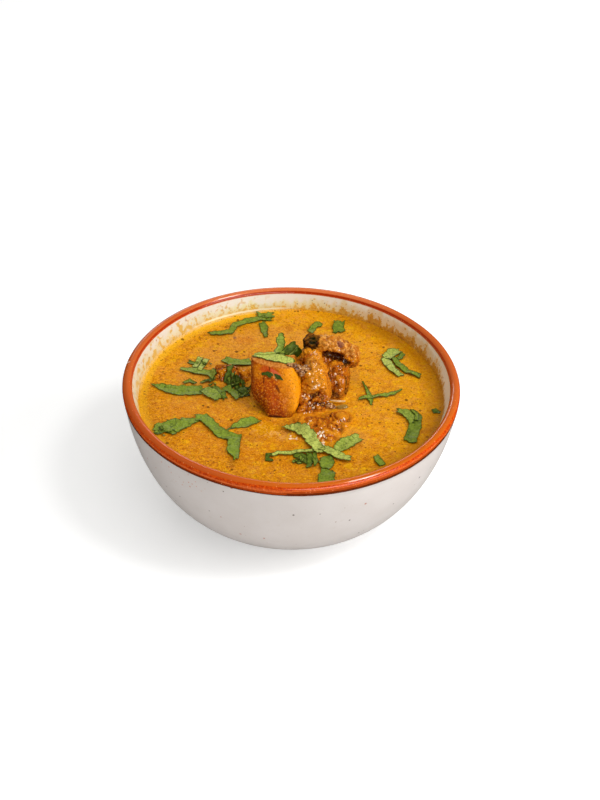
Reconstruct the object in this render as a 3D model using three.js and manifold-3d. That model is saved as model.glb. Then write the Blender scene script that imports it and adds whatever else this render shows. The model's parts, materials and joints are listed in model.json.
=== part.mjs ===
// A serving of mutton marag: a round stoneware bowl with a banded rim, filled with gravy, and a chunk
// of potato and three pieces of meat that stand out of the gravy.
// Millimetres, +Z up. The origin is at the centre of the bowl's foot, on the table, and -Y is the front.

import * as THREE from "three";
import { mergeVertices } from "three/addons/utils/BufferGeometryUtils.js";
import Module from "manifold-3d";

const wasm = await Module();
wasm.setup();

// ---- Driving dimensions ----

// Bowl
const BOWL_HEIGHT = 65;
const RIM_RADIUS = 78; // outer radius at the rim band
const RIM_WALL = 4.6; // wall thickness at the rim
const SIDE_WALL = 6.2; // wall thickness lower down
const WALL_RAMP = 12; // depth over which the wall reaches its full thickness
const BAND_HEIGHT = 4.8; // glazed band around the outside of the rim
const BAND_PROUD = 0.35; // the band stands this far out of the wall below it
const CURVE_DEPTH = 72; // the outer wall follows a superellipse of this depth
const CURVE_FALL = 1.76; // its exponent on depth
const CURVE_SIDE = 3.35; // its exponent on radius
const FOOT_RADIUS = 43; // outer radius of the foot ring
const FOOT_WIDTH = 6;
const FOOT_HEIGHT = 3;
const FOOT_DRAFT = 0.6; // the foot ring widens by this much from the table up
const FOOT_RECESS = 1.6; // depth of the hollow inside the foot ring
const FLOOR_HEIGHT = 8.6; // inside floor above the table
const BOWL_SEGMENTS = 48;
const RIM_STEPS = 6;
const WALL_STEPS = 8;

// Gravy
const FILL_DEPTH = 10.6; // gravy surface below the top of the rim
const GRAVY_LEVEL = BOWL_HEIGHT - FILL_DEPTH;
const GRAVY_STEPS = 7;

const GAP = 0.3; // clearance between solids that touch
const CUT_SIZE = 120; // side of the block that a flat cut takes away

// ---- Materials ----

const material = (color, roughness) => new THREE.MeshStandardMaterial({ color, roughness, metalness: 0 });
const STONEWARE = material(0xe8e0d6, 0.35);
const GRAVY = material(0xd98e1b, 0.3);
const POTATO = material(0xdc8419, 0.4);
const MUTTON = material(0xa8661a, 0.3);

// ---- Solids and booleans ----

// A closed mesh's geometry as a solid for cutting and joining.
function solid(geometry) {
  const shape = geometry.clone();
  shape.deleteAttribute("normal");
  shape.deleteAttribute("uv");
  const merged = mergeVertices(shape, 1e-4);
  return new wasm.Manifold(
    new wasm.Mesh({
      numProp: 3,
      vertProperties: merged.attributes.position.array,
      triVerts: new Uint32Array(merged.index.array),
    }),
  );
}

// A solid as a named mesh.
function piece(name, shape, look) {
  const mesh = shape.getMesh();
  const geometry = new THREE.BufferGeometry()
    .setAttribute("position", new THREE.BufferAttribute(mesh.vertProperties, 3))
    .setIndex(new THREE.BufferAttribute(mesh.triVerts, 1))
    .toNonIndexed();
  geometry.computeVertexNormals();
  const made = new THREE.Mesh(geometry, look);
  made.name = name;
  return made;
}

// A profile of [radius, height] points turned around the Z axis.
function turned(points) {
  const profile = points.map(([radius, height]) => new THREE.Vector2(radius, height));
  return new THREE.LatheGeometry(profile, BOWL_SEGMENTS).rotateX(Math.PI / 2);
}

// The numbers from 0 to 1 in equal steps.
const steps = (count) => Array.from({ length: count + 1 }, (_, i) => i / count);

// ---- Bowl ----

// Outer radius at a depth below the rim.
function outerRadius(depth) {
  return RIM_RADIUS * (1 - (depth / CURVE_DEPTH) ** CURVE_FALL) ** (1 / CURVE_SIDE);
}

// The point of the inner wall behind the outer wall at a depth, moved inwards by a margin.
function innerPoint(depth, margin = 0) {
  const run = 0.1;
  const slope = (outerRadius(depth + run) - outerRadius(depth)) / run;
  const length = Math.hypot(1, slope);
  const ramp = THREE.MathUtils.smoothstep(depth, 0, WALL_RAMP);
  const wall = RIM_WALL + (SIDE_WALL - RIM_WALL) * ramp + margin;
  return [outerRadius(depth) - wall / length, BOWL_HEIGHT - depth - (wall * slope) / length];
}

// The depth whose inner point lies at a height, found by halving.
function depthAtHeight(height, margin) {
  let [low, high] = [0, BOWL_HEIGHT - FOOT_HEIGHT];
  while (high - low > 1e-6) {
    const middle = (low + high) / 2;
    if (innerPoint(middle, margin)[1] > height) low = middle;
    else high = middle;
  }
  return low;
}

// Inner wall points from one height down to another.
function innerWall(top, bottom, count, margin) {
  const [first, last] = [depthAtHeight(top, margin), depthAtHeight(bottom, margin)];
  return steps(count).map((t) => innerPoint(first + (last - first) * t, margin));
}

function bowlShape() {
  const bead = RIM_WALL / 2;
  const beadHeight = BOWL_HEIGHT - bead;
  const footInside = FOOT_RADIUS - FOOT_WIDTH;
  const wallDepth = BOWL_HEIGHT - FOOT_HEIGHT - 1;
  const outside = steps(WALL_STEPS)
    .map((t) => wallDepth + (BAND_HEIGHT - wallDepth) * t)
    .map((depth) => [outerRadius(depth) - BAND_PROUD, BOWL_HEIGHT - depth]);
  const rim = steps(RIM_STEPS).map((t) => [
    RIM_RADIUS - bead + bead * Math.cos(Math.PI * t),
    beadHeight + bead * Math.sin(Math.PI * t),
  ]);
  return solid(
    turned([
      [0, FOOT_RECESS],
      [footInside - FOOT_DRAFT, FOOT_RECESS],
      [footInside, 0],
      [FOOT_RADIUS, 0],
      [FOOT_RADIUS + FOOT_DRAFT, FOOT_HEIGHT],
      ...outside,
      [outerRadius(BAND_HEIGHT), BOWL_HEIGHT - BAND_HEIGHT + BAND_PROUD],
      ...rim,
      ...innerWall(beadHeight - bead, FLOOR_HEIGHT, WALL_STEPS, 0),
      [0, FLOOR_HEIGHT],
    ]),
  );
}

// ---- Lumps of food ----

const LUMP = { turn: [0, 0, 0], edge: 2.6, wave: 0.05, phase: 0, bend: 0, detail: 3 };

// A rounded block with a wavy skin, placed from the middle of the gravy's surface. size is its full
// length on X, Y and Z, and turn its angles about them in degrees; edge 2 is an ellipsoid and higher
// values are boxier; bend lowers its two ends on X; grow thickens it all round.
function lump(shape, grow) {
  const { at, size, turn, edge, wave, phase, bend, detail } = { ...LUMP, ...shape };
  const geometry = new THREE.IcosahedronGeometry(1, detail);
  const position = geometry.attributes.position;
  const point = new THREE.Vector3();
  const half = new THREE.Vector3(...size).multiplyScalar(0.5).addScalar(grow);
  for (let i = 0; i < position.count; i++) {
    point.fromBufferAttribute(position, i).normalize();
    const { x, y, z } = point;
    const block = (Math.abs(x) ** edge + Math.abs(y) ** edge + Math.abs(z) ** edge) ** (-1 / edge);
    const skin =
      Math.sin(4.1 * x + 2.3 * y + phase) * Math.cos(3.7 * z - 1.9 * y + 2 * phase) +
      0.5 * Math.sin(7.3 * z + 5.1 * x - phase) * Math.cos(6.1 * y + 3 * phase);
    point.multiplyScalar(block * (1 + wave * skin)).multiply(half);
    point.z -= (bend * point.x ** 2) / half.x;
    position.setXYZ(i, point.x, point.y, point.z);
  }
  const [x, y, z] = turn.map(THREE.MathUtils.degToRad);
  geometry.applyMatrix4(
    new THREE.Matrix4()
      .makeRotationFromEuler(new THREE.Euler(x, y, z, "XYZ"))
      .setPosition(at[0], at[1], at[2] + GRAVY_LEVEL),
  );
  return solid(geometry);
}

const joined = (lumps, grow = 0) => lumps.map((shape) => lump(shape, grow)).reduce((a, b) => a.add(b));

// The half space beyond a flat cut, as a large block. at is a point of the cut, normal points out of
// the piece, and grow moves the cut outwards.
function beyond([at, normal], grow) {
  const direction = new THREE.Vector3(...normal).normalize();
  const up = new THREE.Vector3(0, 0, 1);
  const centre = direction.clone().multiplyScalar(CUT_SIZE / 2 + grow);
  const block = new THREE.BoxGeometry(CUT_SIZE, CUT_SIZE, CUT_SIZE)
    .applyQuaternion(new THREE.Quaternion().setFromUnitVectors(up, direction))
    .translate(centre.x + at[0], centre.y + at[1], centre.z + at[2] + GRAVY_LEVEL);
  return solid(block);
}

// A chunk of potato that leans back: its round outside faces front, and knife cuts make the rest.
const POTATO_CHUNK = [
  // its round outside
  { at: [-7.4, -1.4, 11], size: [23.8, 19.4, 48], turn: [-35, -6, 0], edge: 3.1, wave: 0.012, detail: 5 },
];
const POTATO_CUTS = [
  [[-7, -3, 20.6], [0.1, -0.06, 1]], // top
  [[2.2, -6, 16.5], [0.85, -0.1, 0.5]], // top right
  [[-18.6, -3, 18], [-1, 0.12, -0.06]], // left
  [[-17.2, -9, 0], [-0.8, -0.6, -0.4]], // lower left
  [[3.7, -9.5, 6.2], [0.93, -0.21, -0.29]], // lower right
  [[-9, 1.6, 20], [-0.22, 1, 0.16]], // back
];

// The large piece of meat: two front lobes, a core behind them, and a strip of meat that arches over
// from a charred end on the left to a knuckle on the right.
const MUTTON_ON_BONE = [
  { at: [9.6, -3.6, 3.6], size: [16.6, 17.4, 31], turn: [-28, 9, 6], edge: 2.8, detail: 4 }, // left lobe
  { at: [20.2, 5, 1.4], size: [13.6, 16.6, 26.6], turn: [-17, 7, -8], edge: 2.9, phase: 2.1 }, // right lobe
  { at: [14, 13, 4], size: [22, 14, 28], turn: [-4, 0, 0], phase: 3.3 }, // core
  { at: [8.2, 9, 12.6], size: [12.6, 11, 15], turn: [-12, 8, 0], edge: 2.4, phase: 4 }, // shoulder
  // arch
  { at: [18.2, 12.4, 19.6], size: [24, 8.5, 8.2], turn: [0, 12, -3], edge: 2.4, phase: 5.2, bend: 0.1 },
  { at: [27.2, 11.4, 14.6], size: [8.6, 9, 11.6], turn: [0, -8, 0], edge: 2.4, phase: 0.9 }, // knuckle
  { at: [9.2, 13, 20], size: [8.4, 7, 8.6], turn: [0, -8, 0], edge: 2.9, phase: 4.4 }, // charred end
];

// A second piece that lies almost sunk in front of the large one.
const MUTTON_FRONT = [
  { at: [12.4, -26, -5], size: [31, 20, 17], turn: [0, 0, -14], edge: 2.4, phase: 1.7 },
  { at: [22, -18.5, -4.8], size: [16, 15, 15], turn: [0, 0, 20], edge: 2.3, phase: 0.3 },
];

// A third piece, low in the gravy on the far side of the potato.
const MUTTON_LEFT = [{ at: [-29, 13, -3], size: [21, 12, 16], turn: [0, 4, -10], edge: 2.5, phase: 2.6 }];

function potatoShape(grow = 0) {
  return POTATO_CUTS.reduce((shape, cut) => shape.subtract(beyond(cut, grow)), joined(POTATO_CHUNK, grow));
}

// ---- Gravy ----

// Fills the bowl up to the gravy's level, clear of the wall.
function filling() {
  const bottom = FLOOR_HEIGHT + GAP;
  const wall = innerWall(GRAVY_LEVEL, bottom, GRAVY_STEPS, GAP);
  return solid(turned([[0, bottom], ...wall.reverse(), [0, GRAVY_LEVEL]]));
}

// ---- Assembly ----

const potatoSpace = potatoShape(GAP);
const muttonSpace = joined(MUTTON_ON_BONE, GAP);
const lowSpace = joined(MUTTON_FRONT, GAP).add(joined(MUTTON_LEFT, GAP));
const foodSpace = potatoSpace.add(muttonSpace).add(lowSpace);

const serving = new THREE.Group();
serving.add(
  piece("bowl", bowlShape(), STONEWARE),
  piece("gravy", filling().subtract(foodSpace), GRAVY),
  piece("potato", potatoShape(), POTATO),
  piece("mutton_on_bone", joined(MUTTON_ON_BONE).subtract(potatoSpace), MUTTON),
  piece("mutton_front", joined(MUTTON_FRONT).subtract(potatoSpace.add(muttonSpace)), MUTTON),
  piece("mutton_left", joined(MUTTON_LEFT).subtract(potatoSpace), MUTTON),
);

export default serving;
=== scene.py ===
import json
import math
import random

import bpy
from mathutils import Matrix, Quaternion, Vector, noise
from mathutils.bvhtree import BVHTree

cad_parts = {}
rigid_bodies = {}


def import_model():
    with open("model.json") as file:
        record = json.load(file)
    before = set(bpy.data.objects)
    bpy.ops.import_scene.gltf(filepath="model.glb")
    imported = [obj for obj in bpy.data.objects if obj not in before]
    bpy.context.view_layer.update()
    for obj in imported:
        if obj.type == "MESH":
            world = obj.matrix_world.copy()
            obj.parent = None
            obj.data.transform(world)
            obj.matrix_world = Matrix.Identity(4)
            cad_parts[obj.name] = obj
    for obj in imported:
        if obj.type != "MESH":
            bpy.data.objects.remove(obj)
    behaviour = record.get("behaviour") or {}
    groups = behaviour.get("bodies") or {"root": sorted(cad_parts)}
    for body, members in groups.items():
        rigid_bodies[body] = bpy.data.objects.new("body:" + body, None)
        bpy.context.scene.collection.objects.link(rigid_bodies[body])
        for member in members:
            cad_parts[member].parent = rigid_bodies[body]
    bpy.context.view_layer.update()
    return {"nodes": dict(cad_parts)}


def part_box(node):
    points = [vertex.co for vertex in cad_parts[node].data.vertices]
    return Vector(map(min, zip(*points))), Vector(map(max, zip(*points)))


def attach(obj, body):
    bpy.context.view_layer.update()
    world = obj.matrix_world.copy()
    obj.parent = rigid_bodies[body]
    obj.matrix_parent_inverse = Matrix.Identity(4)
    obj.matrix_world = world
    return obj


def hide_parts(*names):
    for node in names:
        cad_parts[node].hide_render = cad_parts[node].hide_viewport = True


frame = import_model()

bl_info = {
    "name": "Bowl of mutton curry",
    "version": (1, 0, 0),
    "blender": (4, 5, 0),
    "location": "View3D > Sidebar > Curry",
    "description": "Models a stoneware bowl of mutton curry with cut coriander",
    "category": "Object",
}

MM = 0.001
BODY = "root"
WELD = 1e-6
BOWL_LOW, BOWL_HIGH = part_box("bowl")
GRAVY_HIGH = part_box("gravy")[1]
RIM_RADIUS = (BOWL_HIGH.x - BOWL_LOW.x) / 2 / MM
BOWL_HEIGHT = BOWL_HIGH.z / MM
LEVEL = GRAVY_HIGH.z / MM
TOP = Vector((0, 0, LEVEL))


def srgb(red, green, blue):
    """A colour given as 0 to 255 on the screen, as a linear colour."""

    def linear(part):
        part /= 255
        return part / 12.92 if part <= 0.04045 else ((part + 0.055) / 1.055) ** 2.4

    return (linear(red), linear(green), linear(blue), 1.0)


def colour(label, red, green, blue):
    return bpy.props.FloatVectorProperty(
        name=label,
        description=label + ", as a base colour",
        subtype="COLOR",
        size=4,
        min=0,
        max=1,
        default=srgb(red, green, blue),
    )


def length(label, millimetres, text):
    return bpy.props.FloatProperty(
        name=label,
        description=text,
        default=millimetres * MM,
        min=0,
        subtype="DISTANCE",
        unit="LENGTH",
        precision=5,
    )


def share(label, value, text):
    return bpy.props.FloatProperty(
        name=label, description=text, default=value, min=0, max=1, subtype="FACTOR"
    )


def watts(label, value, text):
    return bpy.props.FloatProperty(name=label, description=text + ", in W", default=value, min=0)


# Settings -----------------------------------------------------------------------------------


class BowlSettings(bpy.types.PropertyGroup):
    segments: bpy.props.IntProperty(
        name="Segments", description="Faces round the bowl", default=160, min=24, max=256
    )
    glaze: colour("Cream glaze", 217, 210, 206)
    glaze_shade: colour("Cream glaze, thicker", 204, 195, 189)
    # A lighter copy of the cream glaze for the inside wall: painted light.
    glaze_inside_lit: colour("Cream glaze, inside", 244, 240, 226)
    crest: colour("Rim's crest", 205, 98, 42)
    band: colour("Rust band", 220, 86, 8)
    band_dark: colour("Dark rust", 178, 50, 1)
    band_edge: colour("Band's lower edge", 172, 66, 8)
    speck: colour("Iron specks", 74, 44, 26)
    pink: colour("Pink specks", 198, 112, 64)
    clay: colour("Bare clay foot", 196, 160, 122)
    smear: colour("Thin gravy on the wall", 234, 226, 148)
    smear_thick: colour("Thick gravy on the wall", 226, 168, 30)
    smear_right: colour("Gravy on the right of the wall", 208, 138, 6)
    smear_height: length("Smear height", 5.0, "How far up the wall the gravy has washed")


class GravySettings(bpy.types.PropertyGroup):
    cell: length("Surface cell", 0.52, "Side of one face of the gravy's surface")
    relief: length("Relief", 0.26, "Height of the grains that stand out of the gravy")
    base: colour("Gravy", 226, 141, 9)
    golden: colour("Golden gravy", 233, 159, 8)
    tan: colour("Tan gravy", 223, 145, 32)
    streak: colour("Pale streaks", 230, 152, 52)
    light: colour("Light grains", 240, 168, 28)
    yellow: colour("Yellow oil", 244, 189, 12)
    shade: colour("Dark grains", 160, 82, 2)
    dark: colour("Dark spice", 92, 48, 5)


class ChunkSettings(bpy.types.PropertyGroup):
    voxel: length("Voxel", 0.32, "Cell size of the pieces of meat and potato")
    meat_light: colour("Meat, light", 224, 136, 13)
    meat: colour("Meat", 180, 85, 1)
    meat_dark: colour("Meat, dark", 82, 26, 1)
    char: colour("Charred end", 36, 12, 4)
    bone: colour("Bone", 226, 204, 160)
    # The potato's lit and shaded colours, for painted light and shade.
    potato_lit: colour("Potato, bright side", 236, 148, 8)
    potato: colour("Potato", 170, 70, 0)
    potato_shaded: colour("Potato, dark side", 84, 26, 0)
    potato_top: colour("Potato, cut top", 214, 142, 62)
    potato_red: colour("Potato, red patch", 196, 66, 20)


class HerbSettings(bpy.types.PropertyGroup):
    cell: length("Leaf cell", 0.48, "Side of one face of a leaf")
    thickness: length("Leaf thickness", 0.22, "Thickness of a cut leaf")
    leaf: colour("Leaf", 132, 152, 44)
    leaf_dark: colour("Dark leaf", 54, 74, 8)
    under: colour("Leaf's pale side", 186, 196, 92)


class StageSettings(bpy.types.PropertyGroup):
    lens: bpy.props.FloatProperty(
        name="Lens", description="Focal length in mm", default=60.67, min=10, max=300
    )
    distance: length("Camera distance", 624, "From the lens to the middle of the rim")
    elevation: bpy.props.FloatProperty(
        name="Elevation",
        description="Camera's height above the horizon",
        default=math.radians(36.249),
        subtype="ANGLE",
        unit="ROTATION",
    )
    floor: share("Floor", 0.9, "Brightness of the floor")
    glow: share("Floor glow", 0.27, "Light that the floor gives off, as a light table")
    room: bpy.props.FloatProperty(
        name="Room light", description="Strength of the even light", default=0.38, min=0
    )
    top: watts("Softbox", 5.6, "Power of the box overhead")
    key: watts("Key light", 3.0, "Power of the soft key light")
    strip: watts("Strip light", 4.0, "Power of the long light in front")
    back: watts("Back light", 1.4, "Power of the low light behind")
    fill: watts("Side fill", 9.6, "Power of the low light at the side")


# Modelling ----------------------------------------------------------------------------------


def pick(obj):
    """Deselects everything, then selects one object and makes it the active one."""
    for other in bpy.context.view_layer.objects:
        other.select_set(False)
    obj.select_set(True)
    bpy.context.view_layer.objects.active = obj


def finish_with(obj, kind, **settings):
    """Adds a modifier to an object, sets it up and applies it."""
    pick(obj)
    made = obj.modifiers.new(kind.lower(), kind)
    for key, value in settings.items():
        setattr(made, key, value)
    bpy.ops.object.modifier_apply(modifier=made.name)


def select_vertices(obj, wanted):
    """In edit mode: selects just the vertices for which wanted(place) is true."""
    bpy.ops.mesh.select_mode(type="VERT")
    bpy.ops.mesh.select_all(action="DESELECT")
    bpy.ops.object.mode_set(mode="OBJECT")
    for vertex in obj.data.vertices:
        vertex.select = wanted(vertex.co)
    bpy.ops.object.mode_set(mode="EDIT")
    bpy.ops.mesh.select_mode(type="VERT")


def draw_ring(start, points):
    """In edit mode: extrudes the selected ring, of size start, to each (radius, height)."""
    radius, height = start
    for next_radius, next_height in points:
        bpy.ops.mesh.extrude_edges_move(
            TRANSFORM_OT_translate={"value": (0, 0, (next_height - height) * MM)}
        )
        grow = next_radius / radius
        bpy.ops.transform.resize(
            value=(grow, grow, 1), center_override=(0, 0, next_height * MM)
        )
        radius, height = next_radius, next_height


def close_middle():
    """In edit mode: closes the selected ring in its middle, cleans the mesh and leaves."""
    bpy.ops.mesh.extrude_edges_move(TRANSFORM_OT_translate={"value": (0, 0, 0)})
    bpy.ops.mesh.merge(type="CENTER")
    bpy.ops.mesh.select_all(action="SELECT")
    bpy.ops.mesh.remove_doubles(threshold=WELD)
    bpy.ops.mesh.normals_make_consistent(inside=False)
    bpy.ops.object.mode_set(mode="OBJECT")


def smooth(obj, degrees=180):
    pick(obj)
    bpy.ops.object.shade_smooth_by_angle(angle=math.radians(degrees))


def place(obj, material, slot, *nodes):
    """Gives a finished piece its material and its body; its slot is not used."""
    obj.data.materials.clear()
    obj.data.materials.append(material)
    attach(obj, BODY)
    if nodes:
        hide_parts(*nodes)


def join(parts, name):
    """Joins several objects into one piece."""
    pick(parts[0])
    for part in parts[1:]:
        part.select_set(True)
    bpy.ops.object.join()
    parts[0].name = name
    parts[0].data.name = name
    return parts[0]


def keep_value(obj, name, values):
    """Stores one number for each vertex, for a material to read."""
    layer = obj.data.attributes.new(name, "FLOAT", "POINT")
    layer.data.foreach_set("value", values)


def push(obj, height, name=None):
    """Moves every vertex along its normal by height(place), in mm, and can keep that value."""
    mesh = obj.data
    places = [vertex.co.copy() for vertex in mesh.vertices]
    normals = [vertex.normal.copy() for vertex in mesh.vertices]
    moved = [height(at / MM) for at in places]
    flat = []
    for at, normal, amount in zip(places, normals, moved):
        flat.extend(at + normal * (amount * MM))
    mesh.vertices.foreach_set("co", flat)
    mesh.update()
    if name:
        keep_value(obj, name, moved)


def grain(at, size, seed):
    """Smooth noise from -1 to 1 with lumps of that size, in mm."""
    return noise.noise(at / size + Vector((seed * 7.3, seed * 3.1, seed)))


def billow(at, size, seed):
    """Rounded lumps of that size with sharp creases between them."""
    return abs(grain(at, size, seed)) - 0.2


def eased(value, low, high):
    """0 below low, 1 above high and a soft slope between them."""
    part = min(1.0, max(0.0, (value - low) / (high - low)))
    return part * part * (3 - 2 * part)


def near_line(at, start, end, reach):
    """1 on the line from start to end and 0 at that distance from it."""
    start, end = Vector(start), Vector(end)
    way = end - start
    part = min(1.0, max(0.0, (at - start).dot(way) / way.length_squared))
    return 1 - eased((at - start - way * part).length, 0, reach)


def trees_of(context, objects):
    """One search tree for each object, to find what is near a place or along a line."""
    graph = context.evaluated_depsgraph_get()
    return [BVHTree.FromObject(obj, graph) for obj in objects]


def pieces(*names):
    """The finished pieces with those names."""
    return [bpy.data.objects[name] for name in names]


# Materials ----------------------------------------------------------------------------------


class Wire:
    """One output of a shader node, for use in an expression."""

    def __init__(self, paint, socket):
        self.paint, self.socket = paint, socket

    def math(self, operation, *values):
        return self.paint.node("Math", values, operation=operation)

    def __add__(self, other):
        return self.math("ADD", self, other)

    __radd__ = __add__

    def __sub__(self, other):
        return self.math("SUBTRACT", self, other)

    def __rsub__(self, other):
        return self.math("SUBTRACT", other, self)

    def __mul__(self, other):
        return self.math("MULTIPLY", self, other)

    __rmul__ = __mul__

    def __truediv__(self, other):
        return self.math("DIVIDE", self, other)

    def __pow__(self, other):
        return self.math("POWER", self, other)

    def __abs__(self):
        return self.math("ABSOLUTE", self)


class Paint:
    """A node material: one shader, and the nodes that feed it."""

    def __init__(self, name, **constants):
        self.material = bpy.data.materials.new(name)
        self.material.use_nodes = True
        self.tree = self.material.node_tree
        self.shader = self.tree.nodes["Principled BSDF"]
        for key, value in constants.items():
            self.shader.inputs[key.replace("_", " ")].default_value = value
        self.place = self.node("TexCoord", out="Object")

    def node(self, kind, values=(), out=0, **settings):
        """Adds a shader node, sets it up, and gives its sockets their values or links."""
        made = self.tree.nodes.new("ShaderNode" + kind)
        for key, value in settings.items():
            setattr(made, key, value)
        for key, value in values.items() if isinstance(values, dict) else enumerate(values):
            socket = self.find(made.inputs, key)
            if isinstance(value, Wire):
                self.tree.links.new(value.socket, socket)
            else:
                socket.default_value = value
        return Wire(self, self.find(made.outputs, out))

    @staticmethod
    def find(sockets, key):
        """A socket by its number, its identifier or its name."""
        if isinstance(key, int):
            return sockets[key]
        for socket in sockets:
            if socket.identifier == key:
                return socket
        return sockets[key]

    def feed(self, **values):
        """Links wires to the shader's sockets."""
        for key, value in values.items():
            self.tree.links.new(value.socket, self.shader.inputs[key.replace("_", " ")])

    def noise(self, size_mm, detail=2.0, rough=0.5, at=None, warp=0.0):
        """Noise from 0 to 1 with lumps of that size."""
        values = {
            "Vector": at or self.place,
            "Scale": 1 / (size_mm * MM),
            "Detail": detail,
            "Roughness": rough,
            "Distortion": warp,
        }
        return self.node("TexNoise", values, "Fac")

    def cells(self, size_mm, at=None, out="Distance", **settings):
        """Cells of that size: the distance to the middle of each, or a colour for each."""
        values = {"Vector": at or self.place, "Scale": 1 / (size_mm * MM)}
        return self.node("TexVoronoi", values, out, **settings)

    def split(self, vector=None):
        outputs = self.node("SeparateXYZ", [vector or self.place]).socket.node.outputs
        return [Wire(self, outputs[axis]) for axis in "XYZ"]

    def combine(self, *parts):
        return self.node("CombineXYZ", parts, "Vector")

    def ease(self, value, low, high):
        """0 at low and 1 at high, with a soft slope between them."""
        values = {"Value": value, "From Min": low, "From Max": high}
        return self.node("MapRange", values, interpolation_type="SMOOTHSTEP")

    def mix(self, factor, low, high):
        """The colour low where factor is 0, and the colour high where it is 1."""
        values = {"Factor_Float": factor, "A_Color": low, "B_Color": high}
        return self.node("Mix", values, "Result_Color", data_type="RGBA")

    def spots(self, spacing_mm, size_mm, part, seed, flat=None):
        """A mask of round spots, in that part of the cells, each with its own size."""
        across, along = flat or self.split()[:2]
        at = self.combine(across + seed, along + seed * 0.7, 0.0)
        cell = self.split(self.cells(spacing_mm, at, "Color", voronoi_dimensions="2D"))
        reach = cell[0] * 0.6 + 0.5
        there = self.ease(cell[1], 1 - part, 1 - part + 0.01)
        away = self.cells(spacing_mm, at, voronoi_dimensions="2D") * (2 * spacing_mm / size_mm)
        return (1 - self.ease(away, reach * 0.7, reach)) * there

    def blot(self, centre, size, turn=(0, 0, 0), ragged=0.3, soft=0.4, fray=1.6):
        """A soft-edged patch at a place, with a size along each axis, all in mm."""
        values = {
            "Vector": self.place,
            "Location": [part * MM for part in centre],
            "Rotation": [math.radians(part) for part in turn],
            "Scale": [part * MM for part in size],
        }
        local = self.node("Mapping", values, "Vector", vector_type="TEXTURE")
        away = self.node("VectorMath", [local], "Value", operation="LENGTH")
        away = away + (self.noise(fray, 2) - 0.5) * (2 * ragged)
        return 1 - self.ease(away, 1 - soft, 1.0)

    def value_of(self, name):
        """A number kept on each vertex."""
        return self.node("Attribute", out="Fac", attribute_name=name)

    def bump(self, height, depth_mm, strength):
        values = {"Height": height, "Strength": strength, "Distance": depth_mm * MM}
        return self.node("Bump", values, "Normal")


class Layers:
    """A colour that is built up from its ground, one layer on the other."""

    def __init__(self, paint, ground):
        self.paint, self.colour = paint, ground

    def add(self, tint, where):
        """Lays a tint on, as strongly as where says for each place."""
        self.colour = self.paint.mix(where, self.colour, tint)


# The bowl -----------------------------------------------------------------------------------

# Sizes in mm. The wall grows from RIM_WALL to SIDE_WALL over WALL_RAMP below the rim.
RIM_WALL, SIDE_WALL, WALL_RAMP = 4.6, 6.2, 12.0
BAND_HEIGHT, BAND_PROUD = 4.8, 0.35
# The outside is a bulging curve that would close at CURVE_DEPTH, with its two powers.
CURVE_DEPTH, CURVE_FALL, CURVE_SIDE = 72.0, 1.76, 3.35
FOOT_RADIUS, FOOT_WIDTH, FOOT_HEIGHT, FOOT_DRAFT, FOOT_RECESS = 43.0, 6.0, 3.0, 0.6, 1.6
FOOT_ROUND = 0.7
FLOOR_HEIGHT = 8.6
LOWEST_WALL, WALL_STEPS, INNER_STEPS = 61.0, 26, 29
WALL_WAVE = 0.12
# The rim lies lower on one side.
RIM_DROP, LOW_SIDE = 0.8, Vector((0.5, -0.87, 0))
BEAD = RIM_WALL / 2


def outer_radius(depth):
    """Radius of the outside of the wall, that far below the rim."""
    return RIM_RADIUS * (1 - (depth / CURVE_DEPTH) ** CURVE_FALL) ** (1 / CURVE_SIDE)


def inner_point(depth, margin=0.0):
    """(radius, height) of the inside of the wall, square to the outside at that depth."""
    step = 0.01
    low = max(depth - step, 0)
    slope = (outer_radius(depth + step) - outer_radius(low)) / (depth + step - low)
    size = math.hypot(1, slope)
    wall = RIM_WALL + (SIDE_WALL - RIM_WALL) * eased(depth, 0, WALL_RAMP) + margin
    return (
        outer_radius(depth) - wall / size,
        BOWL_HEIGHT - depth - wall * slope / size,
    )


def depth_inside(height, margin=0.0):
    """Depth at which the inside of the wall has that height."""
    low, high = 0.0, CURVE_DEPTH - 1
    for _ in range(40):
        middle = (low + high) / 2
        if inner_point(middle, margin)[1] > height:
            low = middle
        else:
            high = middle
    return low


def arc(centre, radius, start, end, steps):
    """Points of an arc, with angles in degrees and both ends left in."""
    points = []
    for i in range(steps + 1):
        angle = math.radians(start + (end - start) * i / steps)
        points.append(
            (centre[0] + radius * math.cos(angle), centre[1] + radius * math.sin(angle))
        )
    return points


def bowl_profile():
    """The bowl's section, from the middle of its underside to the middle of its floor."""
    foot_in = FOOT_RADIUS - FOOT_WIDTH
    points = [(foot_in * 0.5, FOOT_RECESS), (foot_in - 1.4, FOOT_RECESS)]
    points += arc((foot_in + FOOT_ROUND, FOOT_ROUND), FOOT_ROUND, 180, 270, 4)
    points += arc((FOOT_RADIUS - FOOT_ROUND, FOOT_ROUND), FOOT_ROUND, 270, 350, 4)
    points += [(FOOT_RADIUS + FOOT_DRAFT * 0.7, FOOT_HEIGHT - 0.5)]
    for i in range(WALL_STEPS + 1):
        depth = LOWEST_WALL + (BAND_HEIGHT + 0.3 - LOWEST_WALL) * i / WALL_STEPS
        points.append((outer_radius(depth) - BAND_PROUD, BOWL_HEIGHT - depth))
    band = outer_radius(BAND_HEIGHT) - 0.05
    points.append((band, BOWL_HEIGHT - BAND_HEIGHT))
    points.append((outer_radius(BAND_HEIGHT * 0.75), BOWL_HEIGHT - BAND_HEIGHT * 0.75))
    crest = (RIM_RADIUS - BEAD, BOWL_HEIGHT - BEAD)
    points += arc(crest, BEAD, 0, 180, 16)
    start = depth_inside(BOWL_HEIGHT - BEAD - 1.2)
    end = depth_inside(FLOOR_HEIGHT + 0.6)
    for i in range(INNER_STEPS + 1):
        points.append(inner_point(start + (end - start) * (i / INNER_STEPS) ** 1.3))
    last = points[-1][0]
    points += [(last - 1.5, FLOOR_HEIGHT), (last * 0.5, FLOOR_HEIGHT)]
    return points


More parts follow.
